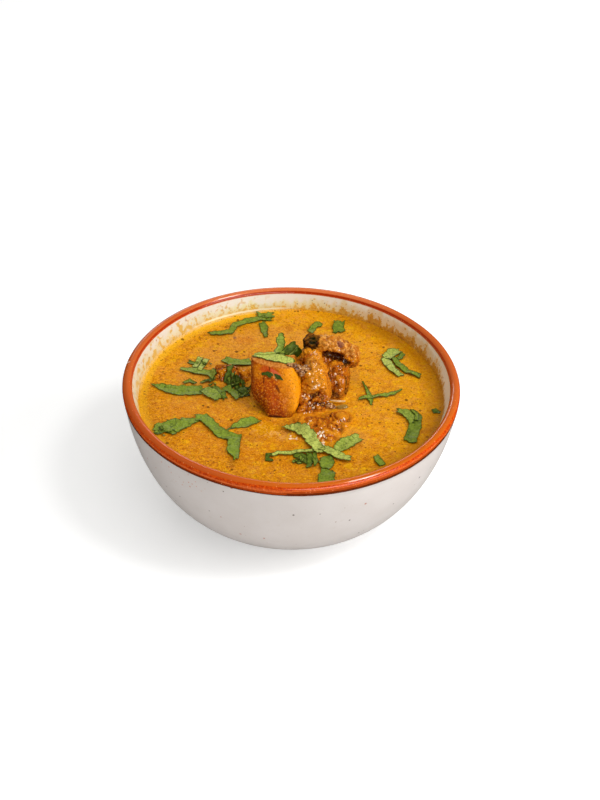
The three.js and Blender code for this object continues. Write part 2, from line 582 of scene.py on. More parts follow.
def along(points):
    """How far along a line each of its points is, in mm."""
    total, out = 0.0, [0.0]
    for a, b in zip(points, points[1:]):
        total += math.dist(a, b)
        out.append(total)
    return out


def bowl_material(settings):
    paint = Paint("bowl_glaze", IOR=1.5, Specular_IOR_Level=0.9)
    x, y, height = paint.split()
    from_crest = paint.value_of("from_crest")
    angle = x.math("ARCTAN2", y, x)
    round_mm = angle * (RIM_RADIUS * MM)
    unrolled = (round_mm, from_crest * MM)
    ring = paint.combine(round_mm, 0.0, 0.0)
    ripple = paint.noise(1.1, 3) - 0.5

    def past(wobble, low, high):
        """0 before and 1 past a wavy line that runs round the rim, in mm from its crest."""
        return paint.ease(from_crest + ripple * wobble, low, high)

    # Cream glaze with soft clouds and sparse iron specks, denser in small clusters.
    cream = Layers(paint, settings.glaze)
    cream.add(settings.glaze_shade, paint.noise(14, 3))
    cream.add(srgb(196, 183, 168), paint.ease(paint.noise(2.2, 4), 0.6, 0.78) * 0.3)
    inside = paint.ease(from_crest, -3.3, -3.7)
    # Painted light: the inside of the bowl takes a lighter copy of the cream glaze.
    cream.add(settings.glaze_inside_lit, inside)
    for spacing, size, part, seed, tint in (
        (5.0, 0.8, 0.05, 0.11, srgb(150, 112, 88)),
        (9.0, 1.2, 0.09, 0.37, settings.speck),
        (12.0, 1.3, 0.1, 0.71, srgb(176, 104, 76)),
    ):
        cream.add(tint, paint.spots(spacing, size, part, seed, unrolled) * 0.85)
    cluster = paint.blot((-46, -60, BOWL_HEIGHT - 11), (16, 14, 6), ragged=0.5)
    pink = paint.spots(2.4, 0.9, 0.45, 0.19, unrolled) * cluster
    cream.add(settings.pink, pink * 0.9)
    # Gravy left on the inside wall: a thin film, a fringe of drips, drops and grains.
    level = (height - LEVEL * MM) / MM
    right = paint.ease(x, -0.005, 0.042)
    fringe = paint.noise(4.2, 1, 0.5, at=ring) - 0.5
    swell = paint.noise(13, 2, at=ring) - 0.5
    mottle = paint.noise(1.7, 4, 0.65) - 0.5
    front = paint.ease(y, 0.035, -0.005) * right
    left = paint.ease(x, -0.02, -0.055)
    film_top = settings.smear_height / MM * (1 + right * 0.6 - front) + swell * 7 + fringe * 7
    film_top = film_top + left * 1.2
    film = paint.ease(film_top - level + mottle * 5, -1.0, 2.2) * inside
    # On the right the film is tan: partly gravy stain and partly painted warm light that the
    # gravy throws on that shaded wall.
    haze = paint.mix(right, settings.smear, srgb(226, 190, 120))
    deep_film = paint.ease(level + mottle * 6, 4.6, 0.4)
    haze = paint.mix(deep_film * (1 - right * 0.6), haze, srgb(236, 206, 122))
    cream.add(haze, film * (0.66 + deep_film * 0.2 - left * 0.22))
    thick_top = 2.3 + right * 1.7 - front * 2.2 - left * 0.1
    thick_top = thick_top + fringe * (8 + right * 2) + swell * (4 + right * 2)
    thick = paint.ease(thick_top - level + mottle * 12, -0.5, 1.0) * inside
    tint = paint.mix(right, settings.smear_thick, settings.smear_right)
    tint = paint.mix(left * 0.6, tint, srgb(226, 190, 104))
    paler = paint.mix(right, srgb(240, 202, 96), srgb(212, 158, 36))
    tint = paint.mix(paint.ease(paint.noise(1.0, 3, 0.6), 0.42, 0.62), tint, paler)
    cream.add(tint, thick * (0.97 - left * 0.5))
    splash = paint.ease(paint.noise(3.2, 4, 0.6) - level * 0.012, 0.46, 0.55) * inside
    splash = splash * paint.ease(x, 0.0, -0.04) * paint.ease(level, 9.5, 7.0)
    # Painted shade: the inside wall on the left is dulled with a grey-brown.
    cream.add(srgb(180, 166, 160), left * inside * 0.3)
    cream.add(srgb(216, 166, 24), splash * 0.8)
    drip = paint.ease(thick_top * 0.75 - level + mottle * 9, 0.2, 1.4) * inside
    streak = paint.ease(paint.noise(1.2, 3, 0.6), 0.5, 0.6)
    drip_tint = paint.mix(right, srgb(212, 138, 8), srgb(158, 84, 4))
    cream.add(drip_tint, drip * streak * 0.6)
    low = paint.ease(level + mottle * 4, film_top + 1.2, film_top - 1.5) * inside
    for spacing, size, part, seed in ((3.0, 1.5, 0.3, 0.53), (1.9, 0.9, 0.24, 0.83)):
        drops = paint.spots(spacing, size, part, seed, unrolled) * low
        cream.add(tint, drops * 0.7)
    for spacing, size, part, seed in ((2.4, 0.7, 0.1, 0.29), (6.0, 1.1, 0.12, 0.67)):
        dirt = paint.spots(spacing, size, part, seed, unrolled) * low
        cream.add(srgb(104, 44, 6), dirt * 0.75)
    # A painted highlight: a pale line just above the gravy at the back left stands for light on
    # the wet meniscus.
    line = level + fringe * 0.6
    wet = paint.ease(line, 0.6, 0.8) * paint.ease(line, 1.9, 1.5)
    wet = wet * inside * paint.ease(angle, 1.5, 1.75) * paint.ease(angle, 2.4, 2.15)
    cream.add(srgb(255, 244, 206), wet * 0.95)
    # Rust band: dark inside, salmon on the crest, then orange, then darker towards its foot.
    grainy = paint.noise(0.8, 3) * 0.6 + paint.noise(0.35, 2) * 0.4
    # The crest is painted yellower at the front, darker at the front left as painted shade, and
    # lighter at the back as a painted highlight.
    crest = paint.mix(paint.ease(y, 0.01, -0.055), settings.crest, srgb(204, 97, 16))
    front_left = paint.ease(x, 0.0, -0.04) * paint.ease(y, 0.0, -0.03)
    crest = paint.mix(front_left * 0.7, crest, srgb(192, 82, 36))
    crest = paint.mix(paint.ease(y, 0.045, 0.07) * 0.7, crest, srgb(228, 124, 70))
    rust = Layers(paint, settings.band_dark)
    rust.add(crest, past(0.4, -2.1, -1.6))
    rust.add(crest, past(0.3, -2.9, -3.2))
    side = paint.mix(paint.ease(grainy, 0.4, 0.6), settings.band_dark, settings.band)
    rust.add(side, past(0.5, 1.8, 2.4))
    pale_band_line = paint.ease(abs(from_crest + ripple * 0.5 - 4.0), 0.7, 0.2) * grainy
    rust.add(srgb(226, 120, 60), pale_band_line)
    # Towards its foot the band darkens, more at the front left as painted shade; the dark line at
    # the very foot is the glaze's dark edge and also painted shade under the band's small step.
    edge = paint.mix(front_left, settings.band_edge, srgb(142, 46, 2))
    rust.add(edge, past(0.7, 4.3, 4.8))
    last = paint.ease(from_crest + ripple * 0.7 + front_left * 0.6, 5.7, 6.1)
    rust.add(srgb(104, 38, 4), last)
    pits = paint.spots(1.6, 0.6, 0.15, 0.47, unrolled)
    rust.add(srgb(244, 160, 104), pits * 0.5)
    nick = paint.blot((-77.4, 8.5, BOWL_HEIGHT - 1), (2.6, 0.8, 2), ragged=0.2, fray=0.8)
    rust.add(srgb(244, 214, 190), nick)
    band = past(0.35, -3.5, -3.3) * past(0.25, 6.75, 6.5)
    cream.add(rust.colour, band)
    # The ring that the bowl stands on is bare clay.
    bare = paint.ease(height, 0.0009, 0.0005)
    cream.add(settings.clay, bare)
    bumps = paint.noise(3.5, 2) * 0.5 + paint.noise(0.9, 2) * 0.12 + thick * 0.5
    paint.feed(
        Base_Color=cream.colour,
        Roughness=0.36 - band * 0.22 + bare * 0.45 + thick * 0.1,
        Normal=paint.bump(bumps, 0.3, 0.35),
    )
    return paint.material


class CURRY_OT_bowl(bpy.types.Operator):
    """Turns the stoneware bowl from its section and glazes it"""

    bl_idname = "curry.bowl"
    bl_label = "Bowl"

    def execute(self, context):
        settings = context.scene.curry_bowl
        points = bowl_profile()
        bpy.ops.mesh.primitive_circle_add(
            vertices=settings.segments,
            radius=points[0][0] * MM,
            fill_type="TRIFAN",
            location=(0, 0, points[0][1] * MM),
        )
        bowl = context.active_object
        bowl.name = bowl.data.name = "stoneware_bowl"
        bpy.ops.object.transform_apply(location=True)
        bpy.ops.object.mode_set(mode="EDIT")
        edge = points[0][0] * MM * 0.9
        select_vertices(bowl, lambda place: place.xy.length > edge)
        draw_ring(points[0], points[1:])
        close_middle()
        # The throwing leaves the wall a little uneven, and the rim a little low on one side.
        push(bowl, lambda at: WALL_WAVE * grain(at, 34, 2) if at.z > 6 else 0)
        low_side = LOW_SIDE * RIM_RADIUS * MM
        for vertex in bowl.data.vertices:
            toward = vertex.co.dot(low_side) / (RIM_RADIUS * MM) ** 2
            drop = eased(toward, 0.55, 1.0) * eased(vertex.co.z / MM, 40, BOWL_HEIGHT - 5)
            vertex.co.z -= RIM_DROP * MM * drop
        lengths = along(points)
        crest = max(range(len(points)), key=lambda i: points[i][1])
        marks = []
        for vertex in bowl.data.vertices:
            at = (vertex.co.xy.length / MM, vertex.co.z / MM)
            near = min(range(len(points)), key=lambda i: math.dist(points[i], at))
            marks.append(lengths[crest] - lengths[near])
        keep_value(bowl, "from_crest", marks)
        smooth(bowl, 60)
        place(bowl, bowl_material(settings), "bowl_glaze", "bowl")
        return {"FINISHED"}


# The gravy ----------------------------------------------------------------------------------

# Between the gravy's side and the bowl, in mm.
GAP = 0.3
CHUNKS = ("potato", "mutton_on_bone", "mutton_front", "mutton_left")
# How high the gravy climbs its wall and the pieces in it, and how far from them it starts.
WALL_RISE, WALL_CLING = 0.7, 2.6
CHUNK_RISE, CHUNK_CLING, CHUNK_REACH = 0.35, 2.6, 4


def gravy_material(settings):
    paint = Paint("gravy", IOR=1.4, Specular_IOR_Level=0.06)
    x, y, _ = paint.split()
    radius = (x * x + y * y) ** 0.5
    broad = paint.noise(15, 2, 0.5)
    middle = paint.noise(4.5, 3, 0.6, warp=0.6)
    cloudy = paint.noise(6.5, 4, 0.65, warp=1.2)
    small = paint.noise(1.7, 3, 0.65)
    fine = paint.noise(0.62, 2, 0.6)
    near_wall = paint.ease(radius, 0.050, 0.068)
    shade = Layers(paint, settings.base)
    shade.add(settings.tan, paint.ease(broad, 0.4, 0.6))
    golden = paint.ease(middle + small * 0.3 + near_wall * 0.3 + x * 1.5, 0.6, 0.8)
    shade.add(settings.golden, golden * 0.9)
    shade.add(settings.streak, paint.ease(cloudy, 0.5, 0.62) * 0.75)
    brown = paint.ease(middle + broad * 0.3, 0.62, 0.46)
    shade.add(settings.shade, brown * 0.4)
    front_left = paint.ease(x * 0.5 + y, 0.0, -0.05)
    shade.add(srgb(180, 98, 1), front_left * 0.48)
    # Painted reflection: a pinkish tan at the back left stands for the sheen of the gravy there.
    painted_sheen_back_left = paint.ease(y - x * 0.7, 0.0, 0.05) * paint.ease(radius, 0.062, 0.05)
    shade.add(srgb(212, 144, 58), painted_sheen_back_left * 0.4)
    gold = paint.ease(paint.noise(5.0, 4, 0.6, warp=0.8), 0.54, 0.68)
    shade.add(settings.yellow, gold * 0.6)
    shade.add(settings.shade, paint.ease(small, 0.5, 0.36) * 0.35)
    shade.add(settings.light, paint.ease(small, 0.52, 0.66) * 0.35)
    for x_mm, y_mm, wide, deep, strength, tint in (
        (13, -17, 15, 7, 0.6, srgb(196, 106, 10)),
        (-2, -27, 7, 8, 0.55, srgb(168, 92, 10)),
        (-11, -27, 9, 6, 0.6, srgb(226, 160, 10)),
        (29, -30, 7, 9, 0.4, srgb(222, 158, 74)),
        (-3, -31, 6, 5, 0.35, srgb(226, 164, 84)),
        (38, 4, 26, 34, 0.2, srgb(190, 130, 28)),
        (-19, -33, 9, 7, 0.35, srgb(168, 100, 14)),
        (-25.5, -51, 3.4, 4, 0.6, srgb(150, 96, 20)),
        (-23, 44, 7, 5, 0.35, srgb(196, 92, 24)),
        (-28.6, 45.4, 1.3, 1.6, 0.8, srgb(112, 66, 66)),
        (-38, 47, 8, 5, 0.3, srgb(150, 104, 30)),
    ):
        blot = paint.blot((x_mm, y_mm, LEVEL), (wide, deep, 9), ragged=0.6, soft=0.7, fray=3.0)
        shade.add(tint, blot * strength)
    curdled = paint.blot((-9, -28, LEVEL), (15, 9, 9), ragged=0.8, soft=0.8, fray=3.0)
    flake = paint.noise(3.0, 3, 0.6, warp=0.9)
    flaky = paint.ease(flake, 0.52, 0.6) * (curdled * 0.62 + 0.13)
    shade.add(srgb(236, 174, 92), flaky)
    crack = paint.ease(abs(flake - 0.47), 0.03, 0.005) * (curdled * 0.44 + 0.16)
    shade.add(srgb(168, 92, 8), crack)
    # Oil collects in a yellow ring along the wall at the back left, with brown specks beside it.
    far_left = paint.ease(x + (small - 0.5) * 0.02, 0.012, -0.03)
    ring = paint.ease(radius + (small - 0.5) * 0.002, 0.0660, 0.0680) * far_left
    shade.add(srgb(244, 188, 40), ring * 0.65)
    # A painted highlight: a thin pale line at the gravy's very edge at the back left stands for
    # light on its meniscus.
    thin = paint.ease(radius + (small - 0.5) * 0.002, 0.0696, 0.0706) * far_left
    shade.add(srgb(232, 196, 128), thin * paint.ease(y, -0.01, 0.012) * 0.75)
    left_edge = paint.ease(radius, 0.060, 0.067) * paint.ease(x, -0.040, -0.058)
    shade.add(srgb(168, 108, 0), left_edge * paint.ease(y, 0.014, -0.010) * 0.45)
    beside = paint.ease(abs(radius - 0.0625), 0.004, 0.001) * far_left
    shade.add(settings.shade, beside * paint.ease(small, 0.5, 0.42) * 0.5)
    shade.add(settings.light, paint.ease(fine, 0.53, 0.63) * 0.6)
    shade.add(settings.shade, paint.ease(fine, 0.47, 0.36) * 0.5)
    oil = paint.spots(2.0, 1.3, 0.22, 0.2) * paint.ease(middle + x * 1.5, 0.46, 0.62)
    shade.add(settings.yellow, oil * 0.8)
    for spacing, size, part, seed in (
        (1.6, 0.6, 0.08, 0.4),
        (3.0, 0.9, 0.12, 0.5),
        (5.0, 1.3, 0.12, 0.6),
        (9.0, 1.9, 0.14, 0.8),
    ):
        shade.add(settings.dark, paint.spots(spacing, size, part, seed) * 0.78)
    # The wall on the right throws the gravy's edge into a brown shade.
    edge = paint.ease(radius, 0.060, 0.0695) * paint.ease(x, 0.0, 0.05)
    shade.add(srgb(150, 92, 4), edge * 0.6)
    paint.feed(
        Base_Color=shade.colour,
        Roughness=0.5 - fine * 0.2,
        Normal=paint.bump(small * 0.5 + fine * 0.5, 0.35, 0.6),
    )
    return paint.material


class CURRY_OT_gravy(bpy.types.Operator):
    """Fills the bowl with grainy gravy that clings to its wall and to the pieces in it"""

    bl_idname = "curry.gravy"
    bl_label = "Gravy"

    def execute(self, context):
        settings = context.scene.curry_gravy
        wall = inner_point(depth_inside(LEVEL + WALL_RISE))[0]
        count = int(2 * wall * MM / settings.cell)
        bpy.ops.mesh.primitive_grid_add(
            x_subdivisions=count,
            y_subdivisions=count,
            size=2 * wall * MM,
            location=(0, 0, LEVEL * MM),
        )
        gravy = context.active_object
        gravy.name = gravy.data.name = "gravy_surface"
        bpy.ops.object.transform_apply(location=True)
        bpy.ops.object.mode_set(mode="EDIT")
        reach = wall * MM - settings.cell * 0.6
        select_vertices(gravy, lambda place: place.xy.length > reach)
        bpy.ops.mesh.delete(type="VERT")
        bpy.ops.mesh.select_all(action="SELECT")
        bpy.ops.mesh.region_to_loop()
        bpy.ops.transform.tosphere(value=1)
        bpy.ops.object.mode_set(mode="OBJECT")
        rim = [v for v in gravy.data.vertices if v.select]
        mean = sum(v.co.xy.length for v in rim) / len(rim)
        grow = wall * MM / mean
        for vertex in rim:
            vertex.co.xy *= grow
        edge = {v.index for v in rim}
        chunks = trees_of(context, [frame["nodes"][name] for name in CHUNKS])
        relief = settings.relief / MM
        for vertex in gravy.data.vertices:
            at = vertex.co / MM
            radius = at.xy.length
            up = WALL_RISE * eased(radius, wall - WALL_CLING, wall) ** 1.5
            up += 0.4 * grain(at, 22, 3) + 0.22 * grain(at, 7, 4)
            up += relief * (0.6 * grain(at, 2.1, 5) + 0.5 * grain(at, 1.1, 6))
            hits = [tree.find_nearest(vertex.co, CHUNK_REACH * MM)[3] for tree in chunks]
            near = min((far for far in hits if far is not None), default=CHUNK_REACH * MM)
            up += CHUNK_RISE * (1 - eased(near / MM, 0.0, CHUNK_CLING)) ** 1.6
            # Shreds of meat just under the surface lift it into knobs.
            here = at - TOP
            knobs = near_line(here, (5, -17, 0), (20, -15, 0), 6)
            knobs += near_line(here, (0, -29, 0), (3, -33, 0), 5)
            up += knobs * (0.4 + 1.6 * billow(at, 3.6, 7) + 0.6 * billow(at, 1.5, 8))
            if vertex.index in edge:
                up = WALL_RISE
            vertex.co.z += up * MM
        gravy.data.update()
        bpy.ops.object.mode_set(mode="EDIT")
        top = (wall, LEVEL + WALL_RISE)
        floor = depth_inside(FLOOR_HEIGHT + 1.5, GAP)
        start = depth_inside(LEVEL - 1, GAP)
        side = [inner_point(start + (floor - start) * i / 7, GAP) for i in range(8)]
        draw_ring(top, side)
        draw_ring(side[-1], [(side[-1][0] * 0.6, FLOOR_HEIGHT + GAP)])
        close_middle()
        smooth(gravy, 60)
        place(gravy, gravy_material(settings), "gravy", "gravy")
        return {"FINISHED"}


# Potato and mutton --------------------------------------------------------------------------


def chunk(node, name, voxel, passes):
    """A closed, even mesh made from a copy of a CAD node."""
    mesh = frame["nodes"][node].data.copy()
    piece = bpy.data.objects.new(name, mesh)
    mesh.name = name
    bpy.context.scene.collection.objects.link(piece)
    pick(piece)
    bpy.ops.object.mode_set(mode="EDIT")
    bpy.ops.mesh.select_all(action="SELECT")
    bpy.ops.mesh.remove_doubles(threshold=WELD)
    bpy.ops.mesh.customdata_custom_splitnormals_clear()
    bpy.ops.object.mode_set(mode="OBJECT")
    finish_with(piece, "REMESH", mode="VOXEL", voxel_size=voxel)
    finish_with(piece, "SMOOTH", factor=0.5, iterations=passes)
    for layer in list(piece.data.attributes):
        if not layer.is_required and not layer.is_internal:
            piece.data.attributes.remove(layer)
    return piece


def potato_material(settings):
    paint = Paint("potato", Coat_Roughness=0.1, Specular_IOR_Level=0.1)
    x, _, height = paint.split()
    top = paint.value_of("top")
    up = (height - LEVEL * MM) / (20 * MM)
    cloud = paint.noise(5, 3, 0.6)
    fine = paint.noise(0.9, 3, 0.6)
    # The front is painted bright on its right and at its upper left corner, and dark on its left
    # and round its foot: painted light and shade.
    across = (x + 0.0045) / 0.006 + (cloud - 0.5) * 1.5 + up * 1.1 - 0.6
    shade = Layers(paint, settings.potato)
    shade.add(settings.potato_lit, paint.ease(across, -0.6, 1.1))
    corner = paint.blot((-15.5, -8, LEVEL + 18), (5.5, 9, 5), soft=0.8)
    shade.add(settings.potato_lit, corner * 0.5)
    foot = paint.blot((-14.5, -15, LEVEL + 4.5), (7.5, 10, 10), (0, -15, 0), soft=0.8)
    shade.add(settings.potato_shaded, foot * 0.75)
    side = paint.ease(x, -0.0165, -0.0182)
    shade.add(settings.potato_shaded, side * 0.5)
    low = paint.ease(up + (cloud - 0.5) * 0.4, 0.3, 0.0)
    shade.add(settings.potato_shaded, low * 0.5)
    shade.add(settings.potato_lit, paint.ease(fine, 0.52, 0.66) * 0.5)
    shade.add(settings.potato_shaded, paint.ease(fine, 0.46, 0.32) * 0.55)
    # Tiny pale golden flecks: partly the potato's own specks and partly painted glints.
    gold = paint.ease(paint.noise(0.6, 2), 0.6, 0.68)
    shade.add(srgb(250, 184, 84), gold * 0.45)
    red = paint.blot((-11.2, -7, LEVEL + 19.2), (4.6, 5, 1.9), soft=0.6)
    shade.add(settings.potato_red, red * 0.7)
    # Among these marks, the dark lines are painted shade in the potato's cracks, and the last,
    # darkest one is a painted shadow where the front meets the gravy.
    cut = srgb(96, 34, 2)
    for centre, size, turn, strength, tint in (
        ((-7.2, -8, 18.3), (3.6, 5, 0.8), 28, 0.7, srgb(214, 96, 62)),
        ((-8.0, -9, 16.9), (2.8, 5, 0.55), 48, 0.7, srgb(226, 160, 84)),
        ((-10.1, -7, 20.0), (0.45, 4, 1.2), 0, 0.8, cut),
        ((-12.6, -10, 15.2), (0.45, 4, 1.9), 4, 0.8, cut),
        ((-6.2, -12, 12.2), (0.75, 5, 2.4), -34, 0.8, cut),
        ((-6.3, -18, 0.7), (5.0, 5, 0.8), 7, 0.9, srgb(60, 18, 2)),
    ):
        mark = paint.blot(Vector(centre) + TOP, size, (0, turn, 0), fray=0.9)
        shade.add(tint, mark * strength)
    # Painted shadow: the back right corner of the top is painted dark, in the shade of the leaf
    # and the meat.
    painted_shadow_behind = paint.blot((2.4, 5, LEVEL + 18.5), (4.8, 7.5, 5), soft=0.7, fray=0.9)
    shade.add(srgb(78, 30, 8), painted_shadow_behind * 0.85)
    skin = paint.mix(paint.ease(fine, 0.4, 0.62), srgb(182, 102, 34), settings.potato_top)
    shade.add(skin, top * 0.9)
    paint.feed(
        Base_Color=shade.colour,
        Roughness=0.36 + fine * 0.2,
        Coat_Weight=paint.ease(fine, 0.5, 0.64) * 0.3,
        Normal=paint.bump(cloud * 0.4 + fine * 0.6, 0.5, 0.5),
    )
    return paint.material


def meat_material(settings, name, brown=0.0, sauce=0.0):
    """Wet meat: painted brown in its creases as shade, golden where the gravy clings to it."""
    paint = Paint(name, Coat_Roughness=0.03, Coat_IOR=1.7, Specular_IOR_Level=0.08)
    x, _, height = paint.split()
    relief = paint.value_of("relief")
    char = paint.value_of("char")
    pale = paint.value_of("pale")
    hollow = paint.value_of("hollow")
    cloud = paint.noise(4.5, 3, 0.6)
    small = paint.noise(1.9, 3, 0.55, warp=0.5)
    fine = paint.noise(0.6, 2, 0.6)
    ridge = abs(small - 0.5) * 4
    up = (height - LEVEL * MM) / (24 * MM)
    # The tone varies at random, and is painted lighter on bumps and high up and darker low down
    # and in the creases between lumps: painted light and shade.
    tone = (cloud - 0.5) * 2.0 + (small - 0.5) * 0.9 + relief * 0.6 + up * 0.8 + 0.14 - brown
    right_lobe = paint.ease(x, 0.015, 0.018) * (1 - pale)
    tone = tone - right_lobe * 0.16
    shade = Layers(paint, settings.meat)
    shade.add(settings.meat_light, paint.ease(tone, 0.4, 0.85))
    shade.add(settings.meat_dark, paint.ease(tone, 0.36, -0.05))
    shade.add(settings.meat_dark, paint.ease(ridge, 0.16, 0.02) * 0.45)
    crown = paint.blot((8, -2, LEVEL + 18.5), (6.5, 10, 4.5), soft=0.7)
    knobby = paint.mix(paint.ease(small, 0.42, 0.56), srgb(132, 62, 12), srgb(226, 160, 78))
    shade.add(knobby, crown * 0.55)
    # A painted highlight: a creamy patch on the bulge of the left lobe.
    bulge = paint.blot((11, -9, LEVEL + 11.5), (4.6, 6, 5), soft=0.8)
    shade.add(srgb(238, 168, 68), bulge * paint.ease(small, 0.42, 0.56) * 0.5)
    # Fine pale and dark grains: the pale ones stand partly for small glints and the dark ones
    # partly for shade in fine creases, both painted.
    shade.add(srgb(240, 172, 58), paint.ease(fine, 0.53, 0.66) * 0.5)
    shade.add(settings.meat_dark, paint.ease(fine, 0.45, 0.33) * 0.55)
    pale_shade = paint.mix(paint.ease(small, 0.4, 0.6), srgb(170, 92, 24), srgb(232, 166, 80))
    shade.add(pale_shade, pale * 0.8)
    freckles = paint.blot((22.6, 9.5, LEVEL + 22.4), (2.4, 3, 2), fray=1.2) * pale
    shade.add(srgb(124, 70, 62), freckles * 0.85)
    speck = paint.ease(paint.noise(1.0, 2, 0.5), 0.58, 0.66) * pale
    shade.add(srgb(120, 56, 22), speck * 0.8)
    # Painted shade: the hollow under the arch is painted near black.
    shade.add(srgb(66, 20, 4), hollow)
    burnt = paint.mix(paint.ease(small, 0.5, 0.62), settings.char, srgb(96, 40, 12))
    olive = paint.blot((9.6, 10.8, LEVEL + 23.2), (2.4, 4, 2.2), ragged=0.5)
    burnt = paint.mix(olive, burnt, srgb(20, 24, 3))
    shade.add(burnt, char)
    wet = paint.ease(small, 0.42, 0.52) * (1 - char * 0.9) * (1 - pale * 0.6) * (1 - hollow)
    low = paint.ease(height - (LEVEL + 1.6) * MM, 0.0, -0.0016)
    shade.add(srgb(220, 142, 28), low * 0.6 + sauce * paint.ease(relief, -0.2, 0.5))
    paint.feed(
        Base_Color=shade.colour,
        Roughness=0.3 + cloud * 0.2,
        Coat_Weight=wet,
        Normal=paint.bump(ridge * 0.6 + fine * 0.4, 0.5, 0.7),
    )
    return paint.material


def round_off(piece, wanted, passes):
    """Smooths the part of a piece where wanted(place) is true."""
    group = piece.vertex_groups.new(name="round_off")
    group.add([v.index for v in piece.data.vertices if wanted(v.co)], 1, "REPLACE")
    finish_with(piece, "SMOOTH", factor=0.5, iterations=passes, vertex_group=group.name)
    piece.vertex_groups.clear()


# The middle of the charred end, in mm above the gravy, and of the round of gristle in front.
CHARRED_END = Vector((9.0, 12.5, 21))
BUTTON = Vector((23.5, -18.2))


def cavity(at):
    """1 in the hollow under the arch of the meat, where shade is painted dark, in mm above the
    gravy.
    """
    main = near_line(at, (16.4, 8.8, 17.4), (21.2, 8.8, 16.0), 3.3)
    return max(main, near_line(at, (22.0, 8.8, 15.4), (26.0, 6.8, 13.6), 1.8))


def bone_marks(at):
    """How charred, how pale and how deep in the hollow, painted dark as shade, the meat on the
    bone is at a place.
    """
    at = at / MM - TOP
    end = (at - CHARRED_END).length + 1.1 * grain(at, 2.5, 4)
    arch = at.z + at.x * 0.3 + 1.2 * grain(at, 3, 6)
    return (
        1 - eased(end, 4.2, 5.2),
        eased(arch, 24, 26.5) * eased(at.x, 11, 15),
        eased(cavity(at) + 0.3 * grain(at, 1.6, 9), 0.12, 0.4),
    )


def wet_lumps(at):
    """How far wet stewed meat stands out of, or in from, its plain shape."""
    bend = Vector([grain(at, 5, seed) for seed in (11, 12, 13)])
    bent = at + bend * 1.8
    return (
        2.2 * billow(bent, 5.6, 1)
        + 1.1 * billow(bent, 2.8, 3)
        + 0.75 * billow(bent, 1.3, 7)
        + 0.2 * grain(at, 0.8, 9)
    )


# Pale flecks that stand for glints on the meat and beside it, painted highlights; each is (x, y,
# height above the gravy, size) in mm.
FLECKS = (
    (11.4, -9.3, 11.8, 1.4), (10.1, -9.6, 11.4, 0.8), (12.6, -8.8, 12.3, 0.8),
    (5.7, -11.0, 7.7, 1.0), (7.7, -11.6, 7.0, 0.9), (8.6, -12.9, 4.2, 1.0),
    (10.1, -13.0, 2.9, 0.8), (15.0, 5.5, 15.5, 0.9), (20.2, 0.9, 12.1, 0.7),
    (20.6, -1.5, 8.6, 0.8), (22.9, -2.9, 5.1, 0.8), (16.8, -10.1, 3.9, 0.8),
    (6.5, -14.9, 0.4, 0.7), (8.4, -14.2, 0.9, 0.6), (9.2, -24.2, 3.5, 0.9),
    (7.6, -27.2, 3.2, 1.0), (14.3, -32.5, 2.3, 1.6), (15.5, -33.3, 1.9, 1.0),
    (13.1, -31.6, 2.8, 0.9), (20.5, -29.3, 2.2, 1.3), (1.3, -32.5, 0.4, 1.5),
    (2.6, -33.5, 0.4, 0.9), (0.3, -31.1, 0.4, 0.8), (15.2, -36.6, 0.4, 1.2),
    (23.9, -21.0, 2.2, 0.9), (9.2, -7.7, 14.0, 0.7), (6.6, -5.1, 15.1, 0.7),
    (21.6, 8.3, 19.7, 0.7), (23.9, 8.3, 15.6, 0.6), (10.6, 7.1, 19.0, 0.8),
    (13.4, -4.4, 17.0, 0.6),
)

# Crumbs of meat and bone, as (x, y, height above the gravy, half their sizes) in mm.
CRUMBS = (
    (-0.8, -4.2, 20.0, 1.5, 1.2, 0.8), (1.2, -3.9, 19.6, 1.9, 1.4, 1.1),
    (3.2, -4.2, 18.2, 2.1, 1.6, 1.5), (4.7, -5.0, 16.2, 1.7, 1.5, 1.4),
    (6.4, -3.6, 17.8, 2.0, 1.6, 1.3), (17.4, -9.8, 1.4, 1.8, 1.4, 1.2),
    (19.8, -9.6, 0.6, 1.3, 1.0, 0.8), (23.8, -9.2, 0.3, 2.5, 1.4, 0.8),
)


class CURRY_OT_potato(bpy.types.Operator):
    """Models the wedge of potato that stands in the gravy"""

    bl_idname = "curry.potato"
    bl_label = "Potato"

    def execute(self, context):
        settings = context.scene.curry_chunks
        potato = chunk("potato", "potato_wedge", settings.voxel, 3)
        round_off(potato, lambda at: at.z / MM - LEVEL < 13, 30)
        flat_top = [eased(vertex.normal.z, 0.55, 0.85) for vertex in potato.data.vertices]

        def worn(at):
            corner = eased(-at.x, 9.0, 17) * eased(LEVEL + 8.5 - at.z, 0, 9)
            foot = eased(at.x, -2.0, 3.5) * eased(LEVEL + 9 - at.z, 0, 7)
            return 0.25 * grain(at, 6, 1) + 0.12 * grain(at, 2.0, 2) - 3.2 * corner + 1.6 * foot

        push(potato, worn)
        keep_value(potato, "top", flat_top)
        smooth(potato)
        place(potato, potato_material(settings), "potato", "potato")
        return {"FINISHED"}


